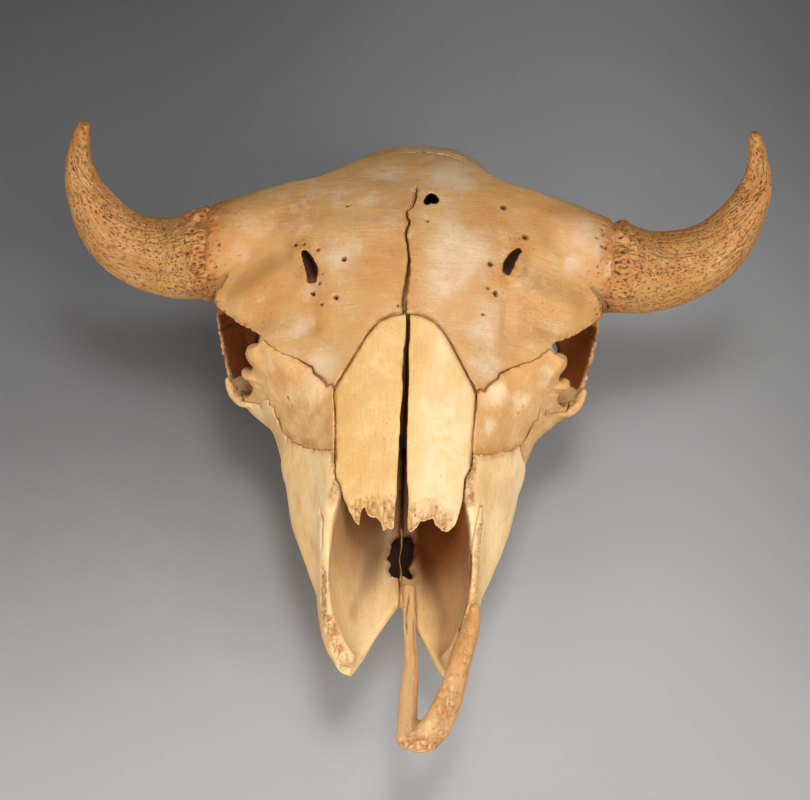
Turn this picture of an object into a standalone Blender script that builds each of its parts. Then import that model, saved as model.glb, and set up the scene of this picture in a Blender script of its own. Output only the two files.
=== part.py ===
"""Skull of a bison bull without its lower jaw, life size, resting on its cheek teeth and the back of its base.

Sizes are in millimetres in the skull's own frame: x to the animal's left, y back from the tip of the
premaxilla, z up from the plane of the cheek teeth's crowns. The last step turns the skull to the way it
rests on a table and scales it to metres.
"""

import math

import bmesh
import bpy
import numpy as np
from mathutils import Matrix, Vector

MM = 0.001
SIDES = {"left": 1, "right": -1}

# How deep the flats are that the skull rests on, nose up, at the last molars and the jugular processes.
FLAT_DEPTH = 0.8

# Gaps between bones that touch.
SUTURE_GAP = 0.4

# Surface of the fused skull before it is parted.
VOXEL = 2.0
SMOOTH_STEPS = 4
THIN_VOXEL = 1.5

# Triangles left in the surface of the fused skull and of the thin bones.
SKULL_TRIANGLES = 6500
THIN_TRIANGLES = 400

# Points closer than this are one point.
MERGE = 0.004

NASAL_THICKNESS = 5.5

# How far the horn cores and the back of the crest lean to the animal's left.
HORN_SWAY = 5.0
CREST_SWAY = 9.0

# How far the left horn core's tip lies behind the right one's place.
LEFT_TIP_BACK = 4.5


def profile(*points):
    """A smooth curve through (place, value) pairs that never overshoots them, level beyond its ends."""
    xs, ys = (np.array(column, float) for column in zip(*points))
    steps, rises = np.diff(xs), np.diff(ys)
    secants = rises / steps
    slopes = np.zeros(len(xs))
    for i in range(1, len(xs) - 1):
        before, after = secants[i - 1], secants[i]
        if before * after > 0:
            slopes[i] = 2 * before * after / (before + after)
    slopes[0], slopes[-1] = secants[0], secants[-1]

    def value(at):
        at = np.clip(np.asarray(at, float), xs[0], xs[-1])
        i = np.clip(np.searchsorted(xs, at) - 1, 0, len(steps) - 1)
        t = (at - xs[i]) / steps[i]
        a, b = ys[i], ys[i + 1]
        ma, mb = slopes[i] * steps[i], slopes[i + 1] * steps[i]
        return (
            a * (2 * t**3 - 3 * t**2 + 1)
            + ma * (t**3 - 2 * t**2 + t)
            + b * (3 * t**2 - 2 * t**3)
            + mb * (t**3 - t**2)
        )

    return value


def ease(low, high, value):
    """0 below low, 1 above high, smooth between."""
    t = min(max((value - low) / (high - low), 0), 1)
    return t * t * (3 - 2 * t)


def smooth_path(points, count, closed=False):
    """Catmull-Rom curve through a few points, resampled to count points at even spacing."""
    p = np.array(points, float)
    n = len(p)
    dense = []
    for i in range(n if closed else n - 1):
        if closed:
            a, b, c, d = (p[(i + k) % n] for k in (-1, 0, 1, 2))
        else:
            a, b, c, d = (p[min(max(i + k, 0), n - 1)] for k in (-1, 0, 1, 2))
        for t in np.linspace(0, 1, 16, endpoint=False):
            dense.append(
                0.5
                * (
                    2 * b
                    + (c - a) * t
                    + (2 * a - 5 * b + 4 * c - d) * t**2
                    + (3 * b - a - 3 * c + d) * t**3
                )
            )
    dense.append(p[0] if closed else p[-1])
    dense = np.array(dense)
    run = np.concatenate([[0], np.cumsum(np.linalg.norm(np.diff(dense, axis=0), axis=1))])
    at = np.linspace(0, run[-1], count + 1)[:-1] if closed else np.linspace(0, run[-1], count)
    return np.column_stack([np.interp(at, run, dense[:, k]) for k in range(p.shape[1])])


# Dorsal midline from the front of the maxilla to the nuchal crest.
ROOF = profile(
    (60, 58), (100, 97), (137, 129), (200, 158), (250, 178), (299, 195), (340, 210),
    (380, 220), (409, 222), (440, 218), (480, 206), (518, 183),
)
# How fast the dorsal surface falls away to each side, per square millimetre.
CROSS_FALL = profile(
    (140, 0.0045), (262, 0.0034), (300, 0.0027), (335, 0.0019), (380, 0.0014), (425, 0.0009), (455, 0.0014), (500, 0.0030),
)


# Rim of the left orbit, round from the notch in front, and the way the socket runs into the head.
ORBIT_RIM = [
    (119, 301, 163), (134, 317, 160), (145, 328, 160), (154, 339, 157), (154, 334, 140), (150, 325, 122),
    (145, 313, 103), (135, 299, 97), (125, 291, 108), (124, 294, 124), (121, 297, 142),
]
ORBIT_INWARD = (-0.70, 0.68, -0.20)


def dorsal(x, y):
    """Height of the skull's upper surface."""
    return ROOF(y) - CROSS_FALL(y) * np.asarray(x, float) ** 2


def solid(name, build):
    """A mesh object, faces out, from a function that fills a bmesh."""
    bm = bmesh.new()
    build(bm)
    bmesh.ops.triangulate(bm, faces=bm.faces)
    bmesh.ops.recalc_face_normals(bm, faces=bm.faces)
    mesh = bpy.data.meshes.new(name)
    bm.to_mesh(mesh)
    bm.free()
    obj = bpy.data.objects.new(name, mesh)
    bpy.context.scene.collection.objects.link(obj)
    return obj


def loft(name, rings):
    """A closed solid through rings of as many points each, with flat ends."""

    def build(bm):
        loops = [[bm.verts.new(p) for p in ring] for ring in rings]
        for low, high in zip(loops, loops[1:]):
            for i in range(len(low)):
                j = (i + 1) % len(low)
                bm.faces.new((low[i], low[j], high[j], high[i]))
        bm.faces.new(loops[0][::-1])
        bm.faces.new(loops[-1])

    return solid(name, build)


def mirrored(half):
    """A ring from its half outline: (x, z) points from the top of the midline round to the bottom."""
    half = [tuple(p) for p in half]
    return half + [(-x, z) for x, z in half[-2:0:-1]]


def ring_at(y, half, count=56):
    """A coronal ring at y from its half outline."""
    return [(x, y, z) for x, z in smooth_path(mirrored(half), count, closed=True)]


def tube(name, path, wide, high=None, count=24, sides=20, tilt=(0, 0, 1)):
    """A swept oval: wide and high are half sizes along the path, high measured nearest to tilt."""
    centres = smooth_path(path, count)
    along = np.linspace(0, 1, count)
    stops = np.linspace(0, 1, len(wide))
    w = np.interp(along, stops, wide)
    h = w if high is None else np.interp(along, np.linspace(0, 1, len(high)), high)
    rings = []
    for i, centre in enumerate(centres):
        a, b = centres[max(i - 1, 0)], centres[min(i + 1, count - 1)]
        forward = Vector(b - a).normalized()
        upward = Vector(tilt)
        upward = (upward - upward.dot(forward) * forward).normalized()
        across = forward.cross(upward)
        turns = [2 * math.pi * k / sides for k in range(sides)]
        rings.append(
            [
                Vector(centre) + across * (w[i] * math.cos(t)) + upward * (h[i] * math.sin(t))
                for t in turns
            ]
        )
    return loft(name, rings)


def ball(name, centre, radii, turn=(0, 0, 0), segments=28):
    """An ellipsoid, turned by Euler angles in degrees."""

    def build(bm):
        bmesh.ops.create_uvsphere(bm, u_segments=segments, v_segments=segments // 2, radius=1)
        turned = Matrix.LocRotScale(
            Vector(centre),
            Matrix.Rotation(math.radians(turn[2]), 3, "Z")
            @ Matrix.Rotation(math.radians(turn[1]), 3, "Y")
            @ Matrix.Rotation(math.radians(turn[0]), 3, "X"),
            Vector(radii),
        )
        bmesh.ops.transform(bm, matrix=turned, verts=bm.verts)

    return solid(name, build)


def plate(name, outline, top, bottom, rings=9):
    """A plate over a plan outline: top and bottom give the heights of its faces."""
    outline = np.array(outline, float)
    middle = outline.mean(axis=0)

    def build(bm):
        levels = []
        for height in (top, bottom):
            if not rings:
                levels.append([bm.verts.new((x, y, float(height(x, y)))) for x, y in outline])
                bm.faces.new(levels[-1])
                continue
            loops = []
            for share in np.linspace(1, 0, rings, endpoint=False):
                at = middle + (outline - middle) * share
                loops.append([bm.verts.new((x, y, float(height(x, y)))) for x, y in at])
            centre = bm.verts.new((*middle, float(height(*middle))))
            for outer, inner in zip(loops, loops[1:]):
                for i in range(len(outer)):
                    j = (i + 1) % len(outer)
                    bm.faces.new((outer[i], outer[j], inner[j], inner[i]))
            last = loops[-1]
            for i in range(len(last)):
                bm.faces.new((last[i], last[(i + 1) % len(last)], centre))
            levels.append(loops[0])
        for i in range(len(outline)):
            j = (i + 1) % len(outline)
            bm.faces.new((levels[0][i], levels[1][i], levels[1][j], levels[0][j]))

    return solid(name, build)


def both_sides(build):
    """The pieces that build makes for each side, given +1 for the left and -1 for the right."""
    return [piece for side in SIDES.values() for piece in build(side)]


def face_body():
    """Maxillae, palate and lacrimal region as one loft, from the front of the maxilla to the orbits."""
    shoulder = profile((72, 38), (85, 49), (110, 56), (135, 57), (165, 55), (200, 53), (262, 58), (300, 62), (328, 62))
    edge = profile((72, 50), (85, 60), (110, 78), (135, 95), (160, 112), (172, 128), (200, 147), (250, 168),
                   (300, 184), (328, 194))
    cheek = profile((72, 44), (96, 57), (130, 62), (165, 67), (200, 72), (240, 80), (262, 88), (285, 106),
                    (300, 118), (328, 112))
    cheek_z = profile((72, 46), (96, 56), (130, 72), (165, 86), (200, 104), (240, 130), (262, 149), (285, 160),
                      (300, 163), (328, 168))
    flank = profile((72, 44), (85, 53), (96, 57), (130, 63.5), (150, 71), (170, 79), (198, 88), (229, 94),
                    (246, 98), (262, 104), (285, 119), (300, 127), (315, 122), (328, 112))
    flank_z = profile((72, 42), (130, 50), (165, 58), (200, 62), (230, 68), (262, 88), (285, 112), (328, 116))
    under = profile((72, 40), (110, 48), (150, 60), (200, 74), (240, 80), (262, 92), (285, 112), (300, 116), (328, 100))
    under_z = profile((72, 34), (150, 40), (200, 42), (240, 46), (262, 70), (285, 88), (328, 96))
    jaw = profile((72, 38), (100, 45), (130, 54), (165, 62), (200, 67), (240, 70), (306, 72), (316, 58), (328, 48))
    jaw_z = profile((72, 30), (140, 30), (155, 24), (306, 24), (316, 52), (328, 80))
    rings = []
    for y in (70, 76, 84, 96, 112, 130, 150, 172, 198, 222, 244, 262, 276, 288, 298, 306, 312, 318, 328):
        s, e = float(shoulder(y)), float(edge(y))
        roof = max(e, float(ROOF(y)) - 2) if y > 165 else e + 2
        j, jz = float(jaw(y)), float(jaw_z(y))
        rings.append(
            ring_at(
                y,
                [
                    (0, roof),
                    (0.55 * s, roof - 0.3 * (roof - e)),
                    (s, e),
                    (cheek(y), cheek_z(y)),
                    (flank(y), flank_z(y)),
                    (under(y), under_z(y)),
                    (j, jz + 6),
                    (j - 6, jz),
                    (j - 24, jz + 4),
                    (0.4 * j, max(36, jz)),
                    (0, max(38, jz)),
                ],
                72,
            )
        )
    return [loft("face_body", rings)]


def frontal_plate():
    """Forehead, from the nose to the coronal suture and out over each orbit."""
    half = [
        (0, 262), (45, 262), (80, 272), (103, 286), (119, 301), (134, 315), (146, 325), (156, 337), (155, 348),
        (143, 362), (138, 392), (128, 420), (104, 434), (80, 440), (60, 455), (42, 470), (0, 480),
    ]
    outline = smooth_path(half + [(-x, y) for x, y in half[-2:0:-1]], 84, closed=True)
    depth = profile((0, 44), (60, 34), (100, 18), (130, 8), (160, 5))
    return [
        plate(
            "frontal_plate",
            outline,
            lambda x, y: dorsal(x, y),
            lambda x, y: dorsal(x, y) - depth(abs(x)),
        )
    ]


def braincase():
    """The narrow part between the temporal fossae, widening to the back of the head."""
    half_width = profile((318, 50), (350, 55), (400, 62), (450, 66), (490, 67), (516, 64))
    floor = profile((318, 92), (400, 82), (460, 72), (516, 66))
    rings = []
    for y in (318, 335, 355, 380, 405, 430, 455, 475, 492, 506, 514):
        top, low, w = float(ROOF(y)) - 1, float(floor(y)), float(half_width(y))
        ring = ring_at(
            y,
            [
                (0, top), (0.5 * w, top - 5), (0.9 * w, top - 26), (w, 0.5 * (top + low) + 6),
                (0.9 * w, low + 16), (0.5 * w, low + 1), (0, low),
            ],
        )
        lean = 0.7 * CREST_SWAY * ease(440, 490, y)
        rings.append([(x + lean * ease(130, 180, z), y, z) for x, y, z in ring])
    return [loft("braincase", rings)]


def occiput():
    """Back of the head: nuchal crest, mastoid region, condyles, jugular processes and the base's bar."""
    arch = [(0, 172), (22, 169), (42, 155), (74, 132), (106, 110), (116, 92), (104, 77), (70, 66), (30, 62), (0, 62)]
    rings = []
    for y, grow in ((462, 0.70), (474, 0.86), (488, 0.96), (500, 1.0), (509, 0.98), (515, 0.91), (519, 0.78)):
        ring = ring_at(y, [(x * grow, 110 + (z - 110) * grow) for x, z in arch])
        rings.append([(x + CREST_SWAY * ease(120, 160, z), y, z) for x, y, z in ring])
    pieces = [
        loft("occipital_plate", rings),
        tube("nuchal_crest", [(CREST_SWAY + x, y, z) for x, y, z in ((-40, 500, 154), (-24, 508, 165), (0, 513, 171),
                                                                    (24, 508, 165), (40, 500, 154))],
             [6, 8, 8, 8, 6]),
        tube("base_bar", [(0, 318, 98), (0, 380, 90), (0, 450, 78), (0, 520, 76)], [16, 20, 27, 34], [12, 13, 13, 12]),
    ]

    def side(s):
        return [
            ball("condyle", (s * 33, 524, 78), (20, 21, 25), (20, s * 12, 0)),
            tube("jugular", [(s * 66, 500, 84), (s * 66, 500, 58), (s * 61, 497, 36)], [15, 9, 5.5], [15, 12, 7],
                 tilt=(0, 1, 0)),
            ball("bulla", (s * 46, 446, 68), (12, 18, 16)),
            tube("ear_canal", [(s * 60, 452, 92), (s * 113, 452, 98)], [15, 12]),
            ball("mastoid", (s * 98, 480, 96), (20, 26, 28)),
            tube("temporal_root", [(s * 68, 432, 108), (s * 100, 436, 102), (s * 118, 424, 98)], [18, 14, 10]),
            tube("pterygoid", [(s * 33, 292, 48), (s * 31, 325, 62), (s * 27, 362, 72)], [22, 24, 16], [4, 3.5, 3.5],
                 tilt=(1, 0, 0)),
        ]

    return pieces + both_sides(side)


def horns():
    """The frontal's outgrowths and the bony horn cores they carry, out, up and back to blunt tips."""

    def side(s):
        path = [(50, 420, 172), (95, 413, 173), (130, 402, 171), (158, 395, 166), (200, 399, 153), (243, 404, 169),
                (269, 418, 207), (274, 429, 238), (266.5, 436, 269)]
        swept = []
        for x, y, z in path:
            share = ease(160, 270, x)
            swept.append((s * x + HORN_SWAY * share, y + s * HORN_SWAY * share, z))
        if s > 0:
            x, y, z = swept[-1]
            swept[-1] = (x, y + LEFT_TIP_BACK, z)
        return [tube("horn", swept, [48, 46, 42, 38.5, 37.5, 35, 31.5, 27, 21.5, 15.8, 10, 3.8],
                     [36, 37, 38, 38, 37.5, 34, 30.5, 26, 21, 15, 9.5, 3.8], count=52, sides=30)]

    return both_sides(side)


def orbit_ring(side, inward, scale, grow=0.0):
    """The eye socket's outline, moved into the head, scaled about its middle and grown outward."""
    rim = smooth_path(ORBIT_RIM, 40, closed=True)
    middle = rim.mean(axis=0)
    arms = rim - middle
    reach = np.linalg.norm(arms, axis=1, keepdims=True)
    moved = middle + arms * (scale + grow / reach) + np.array(ORBIT_INWARD) * inward
    return [(side * x, y, z) for x, y, z in moved]


def orbits():
    """Cups of the eye sockets with their rims and back walls, and the cheek arches."""

    def side(s):
        return [
            loft("orbit_cup", [orbit_ring(s, *step) for step in ((0, 1, 3), (14, 1, 4), (28, 0.94, 4), (42, 0.72, 4),
                                                                 (47, 0.5, 3))]),
            tube("zygomatic_arch", [(s * 86, 248, 92), (s * 105, 275, 94), (s * 128, 301, 92), (s * 140, 325, 92),
                                    (s * 138, 380, 92), (s * 118, 428, 98)], [6, 7, 6, 5, 4, 7],
                 [8, 12, 11, 10, 9, 11]),
        ]

    return both_sides(side)


def tubercles():
    """Two knobs on the front rim of each eye socket."""
    return both_sides(
        lambda s: [
            ball("upper_tubercle", (s * 117, 297, 146), (13, 8, 11), (0, 0, s * 35)),
            ball("lower_tubercle", (s * 121, 294, 124), (13, 7.5, 6.5), (0, 0, s * 35)),
        ]
    )


def premaxilla():
    """The front bone of the left side: body, branch up to the maxilla and inner prong."""
    return fused(
        "premaxilla_left",
        [
            tube("premaxilla_body", [(19, 15, 34), (31, 27, 38), (38.5, 42, 44), (44.5, 60, 51), (51, 82, 61),
                                     (56.5, 100, 70), (58, 112, 76)],
                 [10, 12, 11, 9.5, 8.5, 6.5, 3.5], [6, 6.5, 6.5, 7, 8, 7, 4], tilt=(0.5, -0.2, 0.85)),
            tube("premaxilla_prong", [(10, 16, 33), (9.5, 32, 34), (10, 49, 36), (11, 82, 39), (9, 118, 44),
                                      (7.5, 146, 51)],
                 [8.5, 7.5, 6.4, 5, 5.3, 4.2], [5.5, 5.2, 5, 4.5, 4.5, 3.5]),
            ball("premaxilla_tip", (18.5, 20.5, 33), (18, 14.5, 6)),
        ],
        THIN_VOXEL,
        2,
    )


def nasal_outline(side):
    """Plan of one nasal bone: round by its outer border, its broken front end and the slit between the two."""
    slit = profile((130, 3.6), (200, 3.2), (260, 2.4), (301, 1.6))
    border = [(1.6, 301), (12, 300), (22, 295.5), (32, 284), (41.5, 268), (49.5, 255), (54.5, 246), (53.5, 228),
              (52.5, 210), (51.5, 193), (47.5, 176), (46.5, 165), (44, 152)]
    tips = [(41, 143), (36, 137.5), (31, 143), (26, 146), (21, 141), (15, 138), (8, 136)]
    inner = [(float(slit(y)), y) for y in np.linspace(138, 298, 14)]
    return mirror(border + tips + inner, side)


def nasal(side):
    """One nasal bone, a thin arched plate."""
    bone = plate("nasal", nasal_outline(side), dorsal, lambda x, y: dorsal(x, y) - NASAL_THICKNESS, rings=5)
    return fused("nasal_left" if side > 0 else "nasal_right", [bone], THIN_VOXEL, 1)


def nasal_bed(side):
    """What the nasal bone displaces from the skull, gap and all, open above."""
    return plate(
        "nasal_bed",
        widened(nasal_outline(side), SUTURE_GAP),
        lambda x, y: dorsal(x, y) + 40,
        lambda x, y: dorsal(x, y) - NASAL_THICKNESS - SUTURE_GAP,
        rings=5,
    )


def nasal_opening():
    """The nose's cavity, open to the front and above, narrow under the nasals, and its way out behind."""
    half = profile((50, 40), (72, 37), (85, 47), (110, 53), (135, 54), (160, 51), (174, 44), (200, 47), (240, 44),
                   (258, 38), (300, 30))
    floor = profile((50, 40), (85, 44), (130, 48), (165, 52), (250, 56), (320, 60))
    rings = []
    for y in (50, 60, 72, 85, 100, 120, 140, 158, 170, 176, 190, 210, 235, 254, 266, 286, 304):
        w, low = float(half(y)), float(floor(y))
        top = float(dorsal(0, y)) + 40 if y < 256 else 90
        rings.append(
            ring_at(
                y,
                [
                    (0, top), (0.5 * w, top), (w, top - 3), (w, 0.5 * (top + low)),
                    (0.94 * w, low + 24), (0.66 * w, low + 4), (0.35 * w, low - 2), (0, low),
                ],
            )
        )
    return [
        loft("nasal_cavity", rings),
        tube("choana", [(0, 290, 66), (0, 325, 66), (0, 362, 58), (0, 400, 40)], [26, 26, 26, 26], [24, 24, 22, 20]),
        ball("floor_pit", (1, 166, 54), (11, 24, 9)),
        tube("nasal_slit", [(0, 236, 190), (0, 300, 208)], [2.8, 2.4], [40, 32]),
    ]


def hollows():
    """Everything that is cut out of the fused skull."""
    wedge = loft("palatine_gap", [[(0.5, 134, z), (1.5, 134, z), (48, 50, z), (-46, 50, z)] for z in (0, 70)])
    brain = ball("brain", (4, 436, 140), (26, 58, 26))
    magnum = tube("foramen_magnum", [(0, 470, 112), (0, 510, 98), (0, 560, 84)], [20, 19, 22], [18, 17, 18])
    forehead = tube("forehead_hole", [(16, 408, 250), (16, 408, 190), (12, 414, 160)], [6, 6, 8])

    def side(s):
        return [
            loft("orbit", [orbit_ring(s, *step) for step in ((-26, 1.2), (-12, 1.1), (0, 1), (12, 1.02), (26, 0.92),
                                                             (36, 0.72), (41, 0.4))]),
            tube("orbital_fissure", [(s * 109, 322, 140), (s * 107, 345, 114), (s * 105, 380, 74)], [14, 15, 18],
                 [13, 14, 16]),
        ]

    return nasal_opening() + [wedge, brain, magnum, forehead] + both_sides(side)


def baked(obj, name):
    """The object's evaluated mesh as a plain object of its own, and the source removed."""
    bpy.context.view_layer.update()
    graph = bpy.context.evaluated_depsgraph_get()
    mesh = bpy.data.meshes.new_from_object(obj.evaluated_get(graph))
    bpy.data.objects.remove(obj)
    fresh = bpy.data.objects.new(name, mesh)
    bpy.context.scene.collection.objects.link(fresh)
    return fresh


def fused(name, pieces, voxel=VOXEL, smooth=SMOOTH_STEPS):
    """Overlapping closed pieces as one skin."""
    bm = bmesh.new()
    for piece in pieces:
        bm.from_mesh(piece.data)
        bpy.data.objects.remove(piece)
    mesh = bpy.data.meshes.new(name)
    bm.to_mesh(mesh)
    bm.free()
    whole = bpy.data.objects.new(name, mesh)
    bpy.context.scene.collection.objects.link(whole)
    remesh = whole.modifiers.new("skin", "REMESH")
    remesh.mode = "VOXEL"
    remesh.voxel_size = voxel
    remesh.adaptivity = 0
    soften = whole.modifiers.new("soften", "SMOOTH")
    soften.factor = 0.5
    soften.iterations = smooth
    return baked(whole, name)


def lightened(obj, triangles):
    """The object with its surface reduced to about so many triangles."""
    faces = sum(len(face.vertices) - 2 for face in obj.data.polygons)
    if faces > triangles:
        thin = obj.modifiers.new("lighten", "DECIMATE")
        thin.ratio = triangles / faces
    return baked(obj, obj.name)


def grown(obj, amount):
    """A copy of the object, blown up by an amount all round."""
    copy = bpy.data.objects.new(obj.name + "_grown", obj.data.copy())
    bpy.context.scene.collection.objects.link(copy)
    normals = [vertex.normal.copy() for vertex in copy.data.vertices]
    for vertex, normal in zip(copy.data.vertices, normals):
        vertex.co += normal * amount
    return copy


def carved(obj, tool, operation, name, keep_tool=False):
    """The object joined with, parted from or shared with a tool."""
    cut = obj.modifiers.new("cut", "BOOLEAN")
    cut.operation = operation
    cut.solver = "EXACT"
    cut.object = tool
    result = baked(obj, name)
    if not keep_tool:
        bpy.data.objects.remove(tool)
    return result


def copied(obj, name):
    copy = bpy.data.objects.new(name, obj.data.copy())
    bpy.context.scene.collection.objects.link(copy)
    return copy


def parted(rest, region, wider, name):
    """The bone inside a region, and what is left of the skull beyond the suture's gap."""
    bone = carved(copied(rest, name), region, "INTERSECT", name)
    return bone, carved(rest, wider, "DIFFERENCE", "rest")


def without_flaps(bm):
    """Slivers of no thickness, left by cuts, taken out of a surface."""
    bmesh.ops.dissolve_limit(bm, angle_limit=math.radians(0.02), verts=bm.verts, edges=bm.edges)
    bmesh.ops.triangulate(bm, faces=bm.faces)
    bmesh.ops.remove_doubles(bm, verts=bm.verts, dist=MERGE)
    bmesh.ops.dissolve_degenerate(bm, edges=bm.edges, dist=MERGE)
    bmesh.ops.triangulate(bm, faces=bm.faces)
    same = {}
    for face in bm.faces:
        same.setdefault(frozenset(face.verts), []).append(face)
    doubled = [face for faces in same.values() if len(faces) > 1 for face in faces]
    bmesh.ops.delete(bm, geom=doubled, context="FACES_ONLY")
    bmesh.ops.delete(bm, geom=[e for e in bm.edges if not e.link_faces], context="EDGES")


def largest_body(obj):
    """Only the largest closed surface of the object stays."""
    bm = bmesh.new()
    bm.from_mesh(obj.data)
    without_flaps(bm)
    left = set(bm.faces)
    shells = []
    while left:
        stack = [left.pop()]
        shell = list(stack)
        while stack:
            for edge in stack.pop().edges:
                for face in edge.link_faces:
                    if face in left:
                        left.remove(face)
                        stack.append(face)
                        shell.append(face)
        shells.append(shell)
    shells.sort(key=shell_volume, reverse=True)
    for shell in shells[1:]:
        bmesh.ops.delete(bm, geom=shell, context="FACES")
    bmesh.ops.delete(bm, geom=[v for v in bm.verts if not v.link_faces], context="VERTS")
    bm.to_mesh(obj.data)
    bm.free()
    return obj


def shell_volume(faces):
    """Volume inside a set of faces."""
    total = 0.0
    for face in faces:
        corners = [vertex.co for vertex in face.verts]
        for b, c in zip(corners[1:], corners[2:]):
            total += corners[0].dot(b.cross(c)) / 6
    return abs(total)


def clear_scene():
    for obj in list(bpy.data.objects):
        bpy.data.objects.remove(obj, do_unlink=True)


def whole_skull(voxel=VOXEL):
    """All of the skull that is fused: everything but the nasals and the premaxilla."""
    pieces = face_body() + frontal_plate() + braincase() + occiput() + horns() + orbits()
    skull = fused("skull", pieces, voxel)
    skull = carved(skull, fused("hollows", hollows(), voxel), "DIFFERENCE", "skull")
    return fused("skull", [skull] + tubercles(), voxel, 1)


def widened(outline, amount):
    """A plan outline moved outward by an amount, corners kept."""
    p = np.array(outline, float)
    before, after = p - np.roll(p, 1, axis=0), np.roll(p, -1, axis=0) - p
    turn = np.sign(np.sum(p[:, 0] * np.roll(p[:, 1], -1) - np.roll(p[:, 0], -1) * p[:, 1]))
    normals = []
    for edge in (before, after):
        normals.append(np.column_stack([edge[:, 1], -edge[:, 0]]) / np.linalg.norm(edge, axis=1, keepdims=True) * turn)
    corner = normals[0] + normals[1]
    scale = 2 / np.maximum(np.sum(corner**2, axis=1, keepdims=True), 0.8)
    return p + corner * scale * amount


def column(outline, low, high, grow, rings=0):
    """A region over a plan outline between two heights, grown by an amount all round."""

    def top(x, y):
        return high + grow

    def bottom(x, y):
        return (low(x, y) if callable(low) else low) - grow

    return plate("region", widened(outline, grow), top, bottom, rings)


def mirror(outline, side):
    """A plan outline for one side, wound the same way on both."""
    outline = np.array(outline, float)
    return outline if side > 0 else (outline * (-1, 1))[::-1]


def inner_edge(s):
    """Where a side's region begins: at the midline on the left, past it on the right, whose other half has gone."""
    return 0.2 if s > 0 else -6.0


def horn_region(s, grow=0):
    """Beyond the burr, where the horn core rises from the frontal."""
    outline = [(162, 300), (330, 300), (330, 520), (162, 520)]
    return column(mirror(outline, s), 60, 330, grow)


def frontal_region(s, grow=0):
    """Between the nasals, lacrimal, orbit and coronal suture, down through the horn's pedicle."""
    inner = inner_edge(s)
    outline = [
        (inner, 306), (6, 302), (12, 300.5), (22.5, 296), (32, 284), (41.5, 268), (49.5, 255), (55, 247), (60, 251),
        (67, 256), (72, 264), (85, 276), (99, 285), (112, 297), (128, 300), (150, 316), (172, 334), (172, 470),
        (100, 478), (60, 472), (30, 481), (inner, 483),
    ]

    def low(x, y):
        roof = float(dorsal(min(abs(x), 150), y)) - 15
        side = 136 - 12 * ease(345, 375, y)
        share = ease(50, 90, abs(x))
        return roof * (1 - share) + side * share

    return column(mirror(outline, s), low, 330, grow, rings=6)


def lacrimal_region(s, grow=0):
    """In front of the orbit, between the frontal, nasal, zygomatic and maxilla."""
    outline = [
        (53, 202), (63, 211), (75, 225), (86, 238), (95, 250), (98.5, 260), (103, 267), (110, 275.5), (121, 287),
        (131, 292), (134, 305), (116, 304), (96, 300), (80, 290), (64, 270), (56, 252), (53, 235),
    ]
    return column(mirror(outline, s), lambda x, y: 130 - 0.62 * (abs(x) - 53), 260, grow)


def zygomatic_region(s, grow=0):
    """The cheek bone: lower rim of the orbit, the bar's lower half and the front of the arch."""
    outline = [
        (94, 246), (90, 262), (90, 322), (100, 345), (116, 366), (120, 386), (150, 392), (176, 350), (170, 310),
        (140, 270), (112, 246),
    ]
    return column(mirror(outline, s), 55, 200, grow)


def palatine_regions(grow=0):
    """Back of the hard palate and the plates behind it."""
    return (
        column([(-36, 266), (36, 266), (39, 304), (-39, 304)], 10, 54, grow),
        column([(-39, 303), (39, 303), (40, 374), (-40, 374)], 10, 84, grow),
    )


def maxilla_region(s, grow=0):
    """Everything that is left of one side of the face."""
    outline = [(inner_edge(s), 40), (90, 40), (150, 200), (150, 309), (inner_edge(s), 309)]
    return column(mirror(outline, s), -40, 300, grow)


TOOTH_LENGTHS = (16, 18, 19, 25, 29, 32)
TOOTH_WIDTHS = (14, 17, 20, 25, 27, 25)
TOOTH_ROW_START = 159.0
TOOTH_ROOT = 34.0


def teeth(side):
    """Cheek teeth, from the second premolar to the last molar, two lobes to each molar."""
    pieces = []
    y = TOOTH_ROW_START
    for i, (length, width) in enumerate(zip(TOOTH_LENGTHS, TOOTH_WIDTHS)):
        lobes = 1 if i < 3 else 2
        middle = 51 + 9 * (y + length / 2 - TOOTH_ROW_START) / sum(TOOTH_LENGTHS)
        for lobe in range(lobes):
            at = y + length * (lobe + 0.5) / lobes
            reach = 0.53 * length / lobes
            rings = []
            for z, share in ((TOOTH_ROOT, 0.86), (12, 1.0), (1.5, 0.97), (0, 0.88)):
                rings.append(
                    [
                        (
                            side * (middle + 0.5 * width * share * abs(math.cos(t)) ** 0.7 * math.copysign(1, math.cos(t))),
                            at + reach * share * math.sin(t),
                            z,
                        )
                        for t in np.linspace(0, 2 * math.pi, 12, endpoint=False)
                    ]
                )
            pieces.append(loft("tooth", rings))
        y += length
    return pieces


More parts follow.
